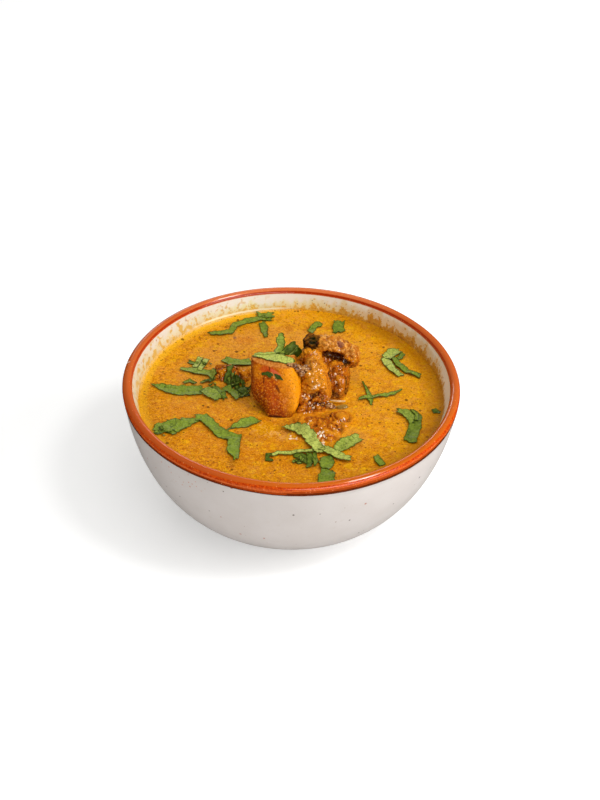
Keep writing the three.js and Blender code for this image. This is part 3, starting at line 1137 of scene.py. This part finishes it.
class CURRY_OT_mutton(bpy.types.Operator):
    """Models the three pieces of mutton, wet and lumpy, one of them charred at its end"""

    bl_idname = "curry.mutton"
    bl_label = "Mutton"

    def execute(self, context):
        settings = context.scene.curry_chunks

        def on_bone(at):
            here = at - TOP
            arch = eased(here.z + here.x * 0.35, 20, 22.5)
            right = eased(here.x, 15.5, 17.5) * (1 - arch)
            end = (here - CHARRED_END).length
            plain = max(cavity(here), 0.7 - 0.7 * eased(end, 4.2, 5.4), 0.5 * arch, 0.8 * right)
            up = wet_lumps(at) * (1 - plain)
            up += arch * (1.0 * billow(at, 2.2, 5) + 0.6 * billow(at, 0.9, 6))
            # The right lobe is pulled into strands that hang down.
            strand = Vector((at.x, at.y, at.z * 0.13))
            up += right * 1.5 * billow(strand, 2.8, 8)
            # The left one bulges over a crease.
            up += 1.5 * near_line(here, (9, -6, 15), (13, -8, 12), 6.5)
            up -= 1.1 * near_line(here, (3.5, -9.8, 10.5), (9.5, -12, 8), 2.6)
            up -= 1.0 * near_line(here, (9.5, -12, 8), (15, -10, 11), 2.2)
            up -= 1.5 * near_line(here, (17, -8, 0), (17.5, -1, 13), 2.2)
            return up - 2.2 * cavity(here)

        def at_front(at):
            ring = (at.xy - BUTTON).length
            button = eased(ring, 5.2, 4.6)
            up = 2.0 * billow(at, 4.2, 2) + 0.7 * billow(at, 1.8, 4) + 0.3 * billow(at, 0.9, 5)
            up *= 1 - 0.6 * button
            return up - 0.9 * math.exp(-(((ring - 3.7) / 0.7) ** 2)) + 0.5 * button

        for node, name, shape, brown, sauce in (
            ("mutton_on_bone", "mutton_with_bone", on_bone, 0.0, 0.25),
            ("mutton_front", "mutton_at_front", at_front, -0.36, 0.5),
            ("mutton_left", "mutton_at_left", wet_lumps, -0.16, 0.1),
        ):
            piece = chunk(node, name, settings.voxel, 4)
            push(piece, shape, "relief")
            on = node == "mutton_on_bone"
            marks = [bone_marks(v.co) if on else (0.0, 0.0, 0.0) for v in piece.data.vertices]
            for mark, values in zip(("char", "pale", "hollow"), zip(*marks)):
                keep_value(piece, mark, values)
            smooth(piece)
            place(piece, meat_material(settings, name, brown, sauce), "mutton", node)
        self.crumbs(settings)
        self.flecks(context)
        return {"FINISHED"}

    def flecks(self, context):
        """Pale glossy flecks on the meat and in the gravy beside it, put where glints show:
        painted highlights.
        """
        under = pieces("mutton_with_bone", "mutton_at_front", "gravy_surface")
        trees = trees_of(context, under)
        made, dice = [], random.Random(7)
        for x, y, z, size in FLECKS:
            for _ in range(3):
                aside = Vector([dice.uniform(-0.7, 0.7) * size for _ in range(3)])
                at = (Vector((x, y, z + LEVEL)) + aside) * MM
                near = min((tree.find_nearest(at) for tree in trees), key=lambda hit: hit[3])
                turn = near[1].to_track_quat("Z", "Y") @ Quaternion((0, 0, 1), dice.uniform(0, 6))
                bpy.ops.mesh.primitive_ico_sphere_add(subdivisions=3, radius=1)
                fleck = context.active_object
                long, wide = dice.uniform(0.5, 0.9) * size, dice.uniform(0.25, 0.45) * size
                for vertex in fleck.data.vertices:
                    way = vertex.co * (1 + 0.5 * grain(vertex.co + at / MM, 0.8, 3))
                    way = Vector((way.x * long, way.y * wide, way.z * 0.22))
                    vertex.co = near[0] + turn @ way * MM
                made.append(fleck)
        flecks = join(made, "pale_flecks")
        smooth(flecks)
        paint = Paint("pale_flecks", Roughness=0.12, Coat_Weight=1.0, Coat_Roughness=0.03)
        pale = paint.ease(paint.noise(0.9), 0.4, 0.6)
        paint.feed(Base_Color=paint.mix(pale, srgb(234, 176, 104), srgb(255, 236, 212)))
        place(flecks, paint.material, "mutton")

    def crumbs(self, settings):
        """The small bits of meat and bone that lie against the large pieces."""
        made = []
        for seed, (x, y, z, wide, deep, high) in enumerate(CRUMBS):
            bpy.ops.mesh.primitive_ico_sphere_add(subdivisions=4, radius=MM)
            bit = bpy.context.active_object
            for vertex in bit.data.vertices:
                way = vertex.co / MM
                up = 1 + 0.7 * billow(way, 0.9, seed + 20) + 0.12 * grain(way, 0.35, seed)
                way = Vector((way.x * wide, way.y * deep, way.z * high)) * up
                vertex.co = (way + Vector((x, y, z + LEVEL))) * MM
            made.append(bit)
        crumbs = join(made, "mutton_crumbs")
        smooth(crumbs)
        paint = Paint("mutton_crumbs", Coat_Roughness=0.05, Coat_IOR=1.9)
        patch = paint.noise(1.6, 3, 0.6)
        shade = paint.mix(paint.ease(patch, 0.36, 0.6), srgb(110, 58, 26), srgb(198, 144, 84))
        olive = paint.blot((24, -9, LEVEL), (4.2, 4, 4))
        shade = paint.mix(olive, shade, srgb(158, 122, 46))
        paint.feed(Base_Color=shade, Coat_Weight=0.5 + patch, Roughness=0.3 + patch * 0.3)
        place(crumbs, paint.material, "mutton")
        # A thin pale sliver lies at the foot of the right lobe.
        sliver = strip(
            ((18.0, -5.6, 1.3, 0.25), (21.4, -6.4, 1.5, 0.45), (24.8, -5.6, 0.9, 0.3)),
            (0, -0.8, 0.6), 0.35, 0.05, 0.0, 0.3,
        )
        finish_with(sliver, "SOLIDIFY", thickness=0.9 * MM, offset=0)
        sliver.name = sliver.data.name = "bone_sliver"
        smooth(sliver)
        paint = Paint("bone", Roughness=0.25)
        paint.feed(Base_Color=paint.mix(paint.noise(1.2), settings.bone, srgb(222, 160, 84)))
        place(sliver, paint.material, "mutton")


# Coriander ----------------------------------------------------------------------------------

# Each cut leaf: how pale it is, how toothed its edge, how high it lies above what is under
# it, and its line as (x, y, half its width). Heights and lines are in mm.
LEAVES = (
    (0.42, 0.45, 0.5, (-41.5, 47.5, 1.0), (-36, 48.2, 1.7), (-30.5, 50, 1.9), (-28.5, 56, 1.8),
     (-23, 59.5, 2.0), (-17.5, 61.5, 2.1), (-14, 63, 2.2)),
    (0.4, 0.8, 0.6, (-18.4, 66.2, 1.0), (-14.4, 64.6, 2.4), (-9.8, 65.8, 2.0)),
    (0.34, 0.8, 0.5, (-13.8, 61.8, 2.4), (-11, 62, 1.6)),
    (0.38, 0.5, 0.4, (-15.4, 58.4, 2.0), (-14.3, 53.5, 2.1), (-13, 46, 0.7)),
    (0.42, 0.5, 0.5, (8.5, 51, 1.5), (10.6, 55.3, 2.0), (13.3, 59.6, 2.1)),
    (0.34, 0.6, 0.6, (23.6, 61.6, 2.9), (23.0, 57, 2.6), (23.2, 52.2, 3.3)),
    (0.8, 0.5, 0.9, (52.5, 35.5, 1.8), (48.6, 34.5, 3.0), (45.4, 29.5, 2.6)),
    (0.3, 0.5, 0.7, (54.5, 34.5, 1.2), (52.8, 31, 1.3), (51, 28.5, 0.8)),
    (0.9, 0.3, 0.7, (44.8, 30, 2.0), (46.4, 24.5, 2.2), (48.6, 19.5, 1.8), (52, 15.5, 1.6)),
    (0.42, 0.4, 0.8, (49.3, 29.5, 1.3), (51.2, 24.5, 1.9), (55.5, 19, 1.4), (61.4, 15.2, 1.5)),
    (0.45, 0.3, 0.5, (33.5, 10.5, 0.4), (35.6, 4.2, 0.8), (36.7, -2.0, 1.5), (37.4, -7.5, 0.7)),
    (0.55, 0.4, 0.8, (30.8, -3.5, 0.8), (35, -1.8, 1.1), (39.4, -1.2, 1.2), (45, 0.3, 1.4),
     (48.5, 1.9, 0.8), (52, 4.4, 0.4)),
    (0.6, 0.5, 1.0, (48.6, -12.6, 1.3), (52.4, -13.6, 2.0), (54.6, -16.5, 2.3), (54.8, -21, 1.3)),
    (0.5, 0.3, 0.9, (55.4, -10.4, 0.8), (57.8, -14.5, 1.0), (57.2, -19, 1.0)),
    (0.32, 0.4, 0.5, (55.4, -11.4, 1.6), (57.6, -16, 2.6), (56.6, -23, 2.7), (53.6, -34, 3.2)),
    (0.2, 0.3, 0.4, (64.8, -12.2, 1.1), (66.9, -10.8, 1.4), (68.5, -12, 0.8)),
    (0.5, 0.2, 0.5, (37.9, -44, 1.1), (38.9, -47.5, 1.7), (40.6, -50.4, 1.5)),
    (0.95, 0.6, 1.3, (-3.4, -25.6, 1.2), (2.9, -28, 2.5), (8.0, -32.2, 2.7),
     (11.3, -38.5, 2.7), (13.8, -43.2, 2.3)),
    (0.85, 0.6, 1.2, (13.8, -39.9, 2.0), (18.3, -43.4, 2.2), (22.1, -45.5, 2.2),
     (26.8, -47.7, 1.5)),
    (0.7, 0.5, 0.8, (20.6, -41.4, 2.3), (25.1, -36.2, 3.6), (31, -31.6, 2.6)),
    (0.85, 0.35, 0.9, (-7.9, -46.2, 0.9), (-5.2, -44.4, 1.1), (0.1, -43.9, 1.2),
     (4.8, -42.7, 1.2), (10, -42, 1.0)),
    (0.15, 0.1, 0.6, (-7.4, -49.2, 0.8), (-9.8, -48.6, 1.0), (-9.8, -45.6, 0.9),
     (-7, -45.4, 0.8)),
    (0.3, 0.5, 0.5, (2.0, -44.8, 1.3), (6.3, -46.8, 2.1), (9.4, -50.9, 1.2)),
    (0.2, 0.5, 0.7, (8.2, -42.9, 1.1), (9.3, -47.8, 1.6), (8.1, -53, 1.0)),
    (0.3, 0.5, 0.8, (11, -42.5, 1.1), (11.4, -47.7, 1.4), (11.3, -52.2, 0.8)),
    (0.36, 0.4, 0.6, (16.2, -45.6, 2.6), (16.3, -50, 3.5), (15.4, -54.2, 2.0)),
    (0.36, 0.4, 0.5, (16.6, -54.2, 2.6), (16.1, -59, 3.7), (15.8, -64, 3.4)),
    (0.4, 0.4, 0.6, (-44, -21, 1.6), (-39.6, -19.9, 2.6), (-34.7, -26.3, 2.7),
     (-30.7, -31.3, 2.9), (-24.7, -33.6, 2.9), (-25.2, -42.5, 2.9), (-23.4, -49.6, 0.8)),
    (0.42, 1.3, 0.6, (-62, -30.4, 2.6), (-57.1, -27.9, 4.0), (-52.2, -26.1, 4.2),
     (-47.8, -23.9, 3.7), (-43, -22, 1.4)),
    (0.4, 0.9, 0.5, (-53.4, -33, 1.4), (-51, -28, 2.4), (-48, -24, 2.4)),
    (0.5, 0.5, 0.6, (-26.2, -26, 0.9), (-21, -23.6, 3.0), (-17.8, -21.4, 3.1),
     (-13.7, -20.7, 0.9)),
    (0.6, 0.0, 0.4, (-29, -29, 0.5), (-27.5, -27, 0.5), (-25.4, -26, 0.6)),
    (0.42, 0.45, 0.6, (-65.4, 4.6, 0.4), (-60, 2.2, 2.6), (-55, 0.5, 3.6),
     (-48.6, 0.3, 3.8), (-41.2, 0.8, 3.2)),
    (0.35, 0.2, 0.5, (-50.6, 5.6, 0.9), (-48, 9, 0.9), (-45.2, 5.6, 0.9)),
    (0.6, 0.5, 0.9, (-41, 1.6, 2.6), (-37.1, -1.9, 3.4), (-33.1, -5.8, 2.4)),
    (0.35, 0.4, 0.6, (-37.2, 5.2, 1.1), (-32.4, -0.7, 1.8), (-30.4, -5.4, 1.0)),
    (0.5, 0.7, 0.9, (-32.3, 0.6, 1.4), (-29.2, 2.2, 2.1), (-26.4, -1.4, 2.0),
     (-25.0, -5.6, 0.8)),
    (0.25, 0.6, 0.7, (-25.4, 3.6, 1.6), (-21.9, 0.3, 1.9), (-20.2, -2.6, 1.0)),
    (0.62, 0.3, 0.6, (-53, 17.2, 0.9), (-48, 16.7, 1.9), (-43.4, 15.4, 2.2),
     (-39, 14.3, 2.0), (-36.2, 9.5, 1.2)),
    (0.85, 0.1, 0.9, (-46.4, 18.4, 1.4), (-45.2, 22.5, 1.5), (-44, 26.6, 1.6)),
    (0.9, 0.1, 0.9, (-43.9, 16.2, 1.3), (-42.4, 21.5, 1.4), (-41.0, 25.6, 1.6)),
    (0.3, 0.5, 0.5, (-49.4, 24, 1.2), (-46.3, 22.3, 1.4), (-45, 19, 1.0)),
    (0.6, 0.1, 0.6, (-42.8, 6.4, 0.9), (-40.4, 8.2, 1.1), (-37, 10, 1.0)),
    (0.55, 0.3, 0.8, (-33, 26.4, 1.6), (-29.3, 24, 2.7), (-24.9, 23.4, 2.8),
     (-19.6, 24.6, 2.7)),
    (0.2, 0.9, 0.7, (-31.6, 7.6, 0.7), (-29.6, 10.4, 1.2), (-28.4, 13.6, 0.8)),
)

# Tufts of finely chopped leaf, as (x, y, reach across, reach deep, how many bits).
TUFTS = (
    (-26.4, 6.0, 3.6, 3.3, 26), (-22.8, 1.0, 3.5, 4.6, 22), (-38.4, 8.0, 2.6, 2.6, 6),
    (-41.5, 21.0, 4.0, 2.6, 5), (5.6, -48.6, 3.4, 3.0, 8), (-56.5, -30.0, 3.6, 2.6, 7),
)

# Leaves on the potato, as above with the way that each one faces, and with lines of (x, y,
# height above the gravy, half its width).
RAISED = (
    (0.95, 0.5, 0.4, (0, 0, 1), (-17.2, 0.4, 21, 1.8), (-12.7, 0.2, 21, 2.6),
     (-8.4, 0, 21, 3.6), (-4.4, -0.6, 20, 2.9), (0.4, -1.6, 20, 1.9)),
    (0.05, 0.3, 0.25, (0, -0.9, 0.4), (-13.4, -8.5, 17.5, 0.5), (-11.0, -8.6, 17.9, 1.1),
     (-8.8, -9.2, 17.0, 1.1)),
    (0.0, 0.5, 0.25, (0, -0.9, 0.4), (-7.4, -9.2, 17.2, 0.9), (-5.6, -9.7, 16.6, 1.4),
     (-4.6, -10, 15.6, 0.9)),
)
# Leaves that stand behind it, as RAISED but resting on nothing.
STANDING = (
    (0.6, 0.4, (0, -0.75, 0.6), (-5.9, 4.6, 20.4, 2.6), (-5.4, 7.4, 22.2, 1.7),
     (-5.2, 9.6, 24.2, 2.0), (-5.4, 12.5, 25.4, 1.0)),
    (0.75, 0.3, (-0.2, -0.7, 0.7), (-8.8, 5.2, 18.6, 0.8), (-6.6, 5.0, 19.8, 2.2),
     (-3.4, 5.2, 20.4, 2.0)),
    (0.2, 0.3, (0.2, -0.8, 0.5), (-5.4, 4.6, 18.6, 1.4), (-1.6, 5.2, 21.2, 2.6),
     (0.8, 6.0, 23.0, 2.7), (2.4, 6.4, 23.8, 1.6)),
    (1.0, 0.0, (0, -0.8, 0.6), (-4.2, 3.4, 18.4, 0.3), (-1.4, 3.8, 19.6, 0.45),
     (0.8, 4.4, 21.6, 0.45), (2.4, 5.2, 24.2, 0.3)),
    (0.0, 0.5, (0, -0.8, 0.5), (1.6, 7.4, 21.8, 1.4), (2.2, 7.6, 18.8, 2.2),
     (2.4, 7.8, 15.4, 1.9)),
)

# Millimetres: from pleat to pleat of a leaf, how far its cut end frays, how far it may hang
# below its own line, and from how far away its bed is looked for.
PLEAT, FRAY, DROOP, SEARCH = 3.4, 2.4, 1.5, 8.0


def strip(path, facing, cell, teeth, fold, lift, seed=0, trees=()):
    """A leaf along a line of (x, y, height above the gravy, half its width), all in mm."""
    facing = Vector(facing).normalized()
    line = [Vector((x, y, z + LEVEL)) for x, y, z, _ in path]
    lefts, rights, run = [], [], [0.0]
    for i, at in enumerate(line):
        before = (at - line[i - 1]).normalized() if i else None
        after = (line[i + 1] - at).normalized() if i + 1 < len(line) else None
        ahead = ((before or after) + (after or before)).normalized()
        side = facing.cross(ahead).normalized() * path[i][3]
        side /= max(0.55, ahead.dot(before or after))
        lefts.append(at + side)
        rights.append(at - side)
        if i:
            run.append(run[-1] + (at - line[i - 1]).length)
    widest = 2 * max(half for _, _, _, half in path)
    bpy.ops.mesh.primitive_grid_add(
        x_subdivisions=max(3, round(run[-1] / cell)),
        y_subdivisions=max(2, round(widest / cell)),
        size=1,
    )
    leaf = bpy.context.active_object
    rims, runs, places = [], [], []
    for vertex in leaf.data.vertices:
        far, across = (vertex.co.x + 0.5) * run[-1], vertex.co.y + 0.5
        k = max(i for i in range(len(run) - 1) if run[i] <= far + 1e-6)
        part = (far - run[k]) / (run[k + 1] - run[k])
        left, right = lefts[k].lerp(lefts[k + 1], part), rights[k].lerp(rights[k + 1], part)
        at = right.lerp(left, across)
        out = 2 * across - 1
        side = (left - right).normalized()
        tooth = 1.2 * grain(at, 3.0, seed) - 2.4 * abs(grain(at, 1.8, seed + 1)) + 0.5
        at += side * out * teeth * tooth
        end = 1 - eased(min(far, run[-1] - far), 0, 2)
        ahead = (line[k + 1] - line[k]).normalized()
        at += ahead * end * (teeth + 0.25) * FRAY * grain(at, 1.5, seed + 3)
        rims.append(min((1 - abs(out)) * (left - right).length / 2, far, run[-1] - far))
        runs.append(far)
        rise = lift + fold * out * out + 0.7 * grain(at, 4.6, seed)
        pleat = abs(((far + 3 * grain(at, 5, seed)) / PLEAT) % 1 - 0.5) * 4 - 1
        rise += 0.22 * pleat * max(0.0, grain(at, 6, seed + 5) + 0.05)
        places.append(lay(at, facing, trees) + facing * max(rise, 0.2))
    leaf.data.vertices.foreach_set("co", [part * MM for at in places for part in at])
    leaf.data.update()
    keep_value(leaf, "rim", rims)
    keep_value(leaf, "run", runs)
    return leaf


def lay(at, facing, trees):
    """The highest place, along the way a leaf faces, of what is under it."""
    start = (at + facing * SEARCH) * MM
    hits = [tree.ray_cast(start, -facing, 2 * SEARCH * MM)[3] for tree in trees]
    near = min((far for far in hits if far is not None), default=SEARCH * MM)
    return at + facing * max(SEARCH - near / MM, -DROOP)


def leaf_material(settings):
    paint = Paint("coriander", Roughness=0.42, Specular_IOR_Level=0.35)
    tone = paint.value_of("tone")
    rim = paint.value_of("rim")
    run = paint.value_of("run")
    patch = paint.noise(2.6, 3, 0.6)
    fine = paint.noise(0.7, 2, 0.6)
    mark = tone + (patch - 0.5) * 0.5 + (fine - 0.5) * 0.3
    shade = Layers(paint, settings.leaf_dark)
    shade.add(settings.leaf, paint.ease(mark, 0.0, 0.5))
    shade.add(settings.under, paint.ease(mark, 0.5, 0.95))
    veins = paint.cells(1.7, feature="DISTANCE_TO_EDGE")
    shade.add(settings.leaf_dark, paint.ease(veins, 0.1, 0.0) * 0.5)
    # Painted shade: dark lines in the leaf's creases.
    pleats = (run + patch * 5.0) / 2.9
    crease = pleats.math("FRACT", pleats)
    fold = paint.ease(crease, 0.13, 0.03) * paint.ease(paint.noise(1.8, 2), 0.46, 0.54)
    shade.add(settings.leaf_dark, fold * 0.9)
    # Painted shadow: a dark line round each leaf's rim, where it meets what is under it.
    edge = paint.ease(rim + (fine - 0.5) * 0.5, 0.42, 0.1)
    shade.add(settings.leaf_dark, edge * 0.9)
    paint.feed(Base_Color=shade.colour, Normal=paint.bump(veins + patch, 0.3, 0.5))
    return paint.material


class CURRY_OT_herbs(bpy.types.Operator):
    """Cuts the coriander leaves and lays them on the gravy, the potato and the meat"""

    bl_idname = "curry.herbs"
    bl_label = "Coriander"

    def execute(self, context):
        settings = context.scene.curry_herbs
        meat = pieces("mutton_with_bone", "mutton_at_front", "mutton_at_left")
        trees = trees_of(context, pieces("gravy_surface", "potato_wedge") + meat)
        cell = settings.cell / MM
        flat, raised, pale = [], [], []
        for seed, (tone, teeth, lift, *path) in enumerate(LEAVES):
            path = [(x, y, 0, half) for x, y, half in path]
            leaf = strip(path, (0, 0, 1), cell, teeth, 0.25, lift, seed, trees)
            (pale if tone > 0.7 else flat).append(self.cut(leaf, tone, settings))
        for seed, (tone, teeth, lift, facing, *path) in enumerate(RAISED):
            leaf = strip(path, facing, cell * 0.7, teeth, 0.1, lift, seed + 50, trees)
            raised.append(self.cut(leaf, tone, settings))
        for seed, (tone, teeth, facing, *path) in enumerate(STANDING):
            leaf = strip(path, facing, cell * 0.7, teeth, 0.5, 0, seed + 60)
            raised.append(self.cut(leaf, tone, settings))
        dice = random.Random(11)
        for x, y, wide, deep, count in TUFTS:
            for _ in range(count):
                angle, out = dice.uniform(0, math.tau), dice.random() ** 0.6
                at = Vector((x + wide * out * math.cos(angle), y + deep * out * math.sin(angle)))
                way = angle + dice.uniform(-1.1, 1.1)
                step = Vector((math.cos(way), math.sin(way))) * dice.uniform(0.8, 1.5)
                half, seed = dice.uniform(0.5, 0.9), dice.randrange(100)
                ends = (at - step, half * 0.7), (at, half), (at + step, half * 0.5)
                path = [(*point, 0, width) for point, width in ends]
                facing = (dice.uniform(-0.5, 0.5), dice.uniform(-0.7, 0.2), 1)
                lift = dice.uniform(0.3, 1.7 - out)
                leaf = strip(path, facing, cell * 0.8, 0.5, 0.3, lift, seed, trees)
                flat.append(self.cut(leaf, dice.uniform(0.25, 0.9), settings))
        material = leaf_material(settings)
        for parts, name in (
            (flat, "coriander_leaves"),
            (pale, "coriander_undersides"),
            (raised, "coriander_on_potato"),
        ):
            piece = join(parts, name)
            smooth(piece, 50)
            place(piece, material, "herb")
        return {"FINISHED"}

    def cut(self, leaf, tone, settings):
        """Gives a leaf its thickness and its shade."""
        finish_with(leaf, "SOLIDIFY", thickness=settings.thickness, offset=0)
        keep_value(leaf, "tone", [tone] * len(leaf.data.vertices))
        return leaf


# Stage --------------------------------------------------------------------------------------

# The camera's turns away from the middle of the rim, and the point that the lamps face.
LOOK_ASIDE, LOOK_UP, ROLL = (math.radians(turn) for turn in (0.380, -1.010, 1.287))
LAMP_CENTRE = Vector((0, 0, 0.05))
# Each lamp: its setting and name, its width in m, the angles in degrees and the distance in m
# that it shines from, its height over its width, and whether it shows in highlights.
LAMPS = (
    ("top", "softbox", 1.4, -90, 88, 1.4, 1.0, False),
    ("fill", "fill", 1.0, -8, 24, 1.4, 1.0, False),
    ("key", "key", 0.25, -24, 58, 1.1, 1.0, True),
    ("strip", "strip", 1.6, -56, 21, 1.2, 0.18, True),
    ("back", "back", 0.7, 98, 24, 1.4, 0.25, True),
)
FLOOR_SIZE = 12
FLOOR_GLOW = (0.93, 0.98, 1, 1)
ROOM_COLOUR = (1, 0.955, 0.91, 1)


def turned(a, b, angle):
    """Two directions square to each other, turned in their plane from a towards b."""
    cosine, sine = math.cos(angle), math.sin(angle)
    return a * cosine + b * sine, b * cosine - a * sine


def aim(elevation, distance):
    """The camera's place and turn: it looks at the middle of the rim, then a little aside."""
    back = Vector((0, -math.cos(elevation), math.sin(elevation)))
    ahead, right = -back, Vector((1, 0, 0))
    up = right.cross(ahead)
    ahead, right = turned(ahead, right, LOOK_ASIDE)
    ahead, up = turned(ahead, up, LOOK_UP)
    right, up = turned(right, up, ROLL)
    turn = Matrix((right, up, -ahead)).transposed().to_4x4()
    return Matrix.Translation(back * distance + Vector((0, 0, BOWL_HIGH.z))) @ turn


def lamp(scene, name, power, size, azimuth, height, distance, tall, mirrored):
    """A soft oval lamp, aimed at the bowl from angles in degrees and a distance in m."""
    data = bpy.data.lights.new(name, "AREA")
    data.shape = "ELLIPSE"
    data.size = size
    data.size_y = size * tall
    data.energy = power
    obj = bpy.data.objects.new(name, data)
    scene.collection.objects.link(obj)
    turn, rise = math.radians(azimuth), math.radians(height)
    flat = math.cos(rise)
    way = Vector((math.cos(turn) * flat, math.sin(turn) * flat, math.sin(rise)))
    obj.location = way * distance + LAMP_CENTRE
    obj.rotation_mode = "QUATERNION"
    obj.rotation_quaternion = way.to_track_quat("Z", "Y")
    obj.visible_glossy = mirrored


class CURRY_OT_stage(bpy.types.Operator):
    """Sets the pale floor, the soft lights and the camera"""

    bl_idname = "curry.stage"
    bl_label = "Stage"

    def execute(self, context):
        settings = context.scene.curry_stage
        scene = context.scene
        bpy.ops.mesh.primitive_plane_add(size=FLOOR_SIZE, location=(0, 0, 0))
        floor = context.active_object
        floor.name = "floor"
        white = Paint("floor_white", Roughness=1.0, Specular_IOR_Level=0.0)
        tone = settings.floor
        white.shader.inputs["Base Color"].default_value = (tone, tone, tone, 1)
        white.shader.inputs["Emission Color"].default_value = FLOOR_GLOW
        white.shader.inputs["Emission Strength"].default_value = settings.glow
        floor.data.materials.append(white.material)
        floor.visible_glossy = False

        world = bpy.data.worlds.new("studio")
        world.use_nodes = True
        background = world.node_tree.nodes["Background"]
        background.inputs["Color"].default_value = ROOM_COLOUR
        background.inputs["Strength"].default_value = settings.room
        world.cycles_visibility.glossy = False
        scene.world = world

        for setting, name, *form in LAMPS:
            lamp(scene, name, getattr(settings, setting), *form)

        data = bpy.data.cameras.new("camera")
        data.lens = settings.lens
        data.sensor_width = 36
        data.clip_start, data.clip_end = 0.01, 100
        camera = bpy.data.objects.new("camera", data)
        scene.collection.objects.link(camera)
        camera.rotation_mode = "QUATERNION"
        camera.matrix_world = aim(settings.elevation, settings.distance)
        scene.camera = camera
        scene.view_settings.view_transform = "Standard"
        return {"FINISHED"}


class CURRY_PT_panel(bpy.types.Panel):
    """Lists the steps that make the bowl of curry"""

    bl_label = "Mutton curry"
    bl_idname = "CURRY_PT_panel"
    bl_space_type = "VIEW_3D"
    bl_region_type = "UI"
    bl_category = "Curry"

    def draw(self, context):
        for name, title, group in STEPS:
            box = self.layout.box()
            box.operator("curry." + name, text=title)
            settings = getattr(context.scene, group)
            for key in settings.__annotations__:
                box.prop(settings, key)


STEPS = (
    ("stage", "Stage", "curry_stage"),
    ("bowl", "Bowl", "curry_bowl"),
    ("gravy", "Gravy", "curry_gravy"),
    ("potato", "Potato", "curry_chunks"),
    ("mutton", "Mutton", "curry_chunks"),
    ("herbs", "Coriander", "curry_herbs"),
)
GROUPS = {
    "curry_bowl": BowlSettings,
    "curry_gravy": GravySettings,
    "curry_chunks": ChunkSettings,
    "curry_herbs": HerbSettings,
    "curry_stage": StageSettings,
}
CLASSES = (
    *GROUPS.values(),
    CURRY_OT_stage,
    CURRY_OT_bowl,
    CURRY_OT_gravy,
    CURRY_OT_potato,
    CURRY_OT_mutton,
    CURRY_OT_herbs,
    CURRY_PT_panel,
)


def register():
    for made in CLASSES:
        bpy.utils.register_class(made)
    for name, group in GROUPS.items():
        setattr(bpy.types.Scene, name, bpy.props.PointerProperty(type=group))


def unregister():
    for name in GROUPS:
        delattr(bpy.types.Scene, name)
    for made in reversed(CLASSES):
        bpy.utils.unregister_class(made)


def main():
    register()
    for name, _, _ in STEPS:
        getattr(bpy.ops.curry, name)()
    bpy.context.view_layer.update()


if __name__ == "__main__":
    main()
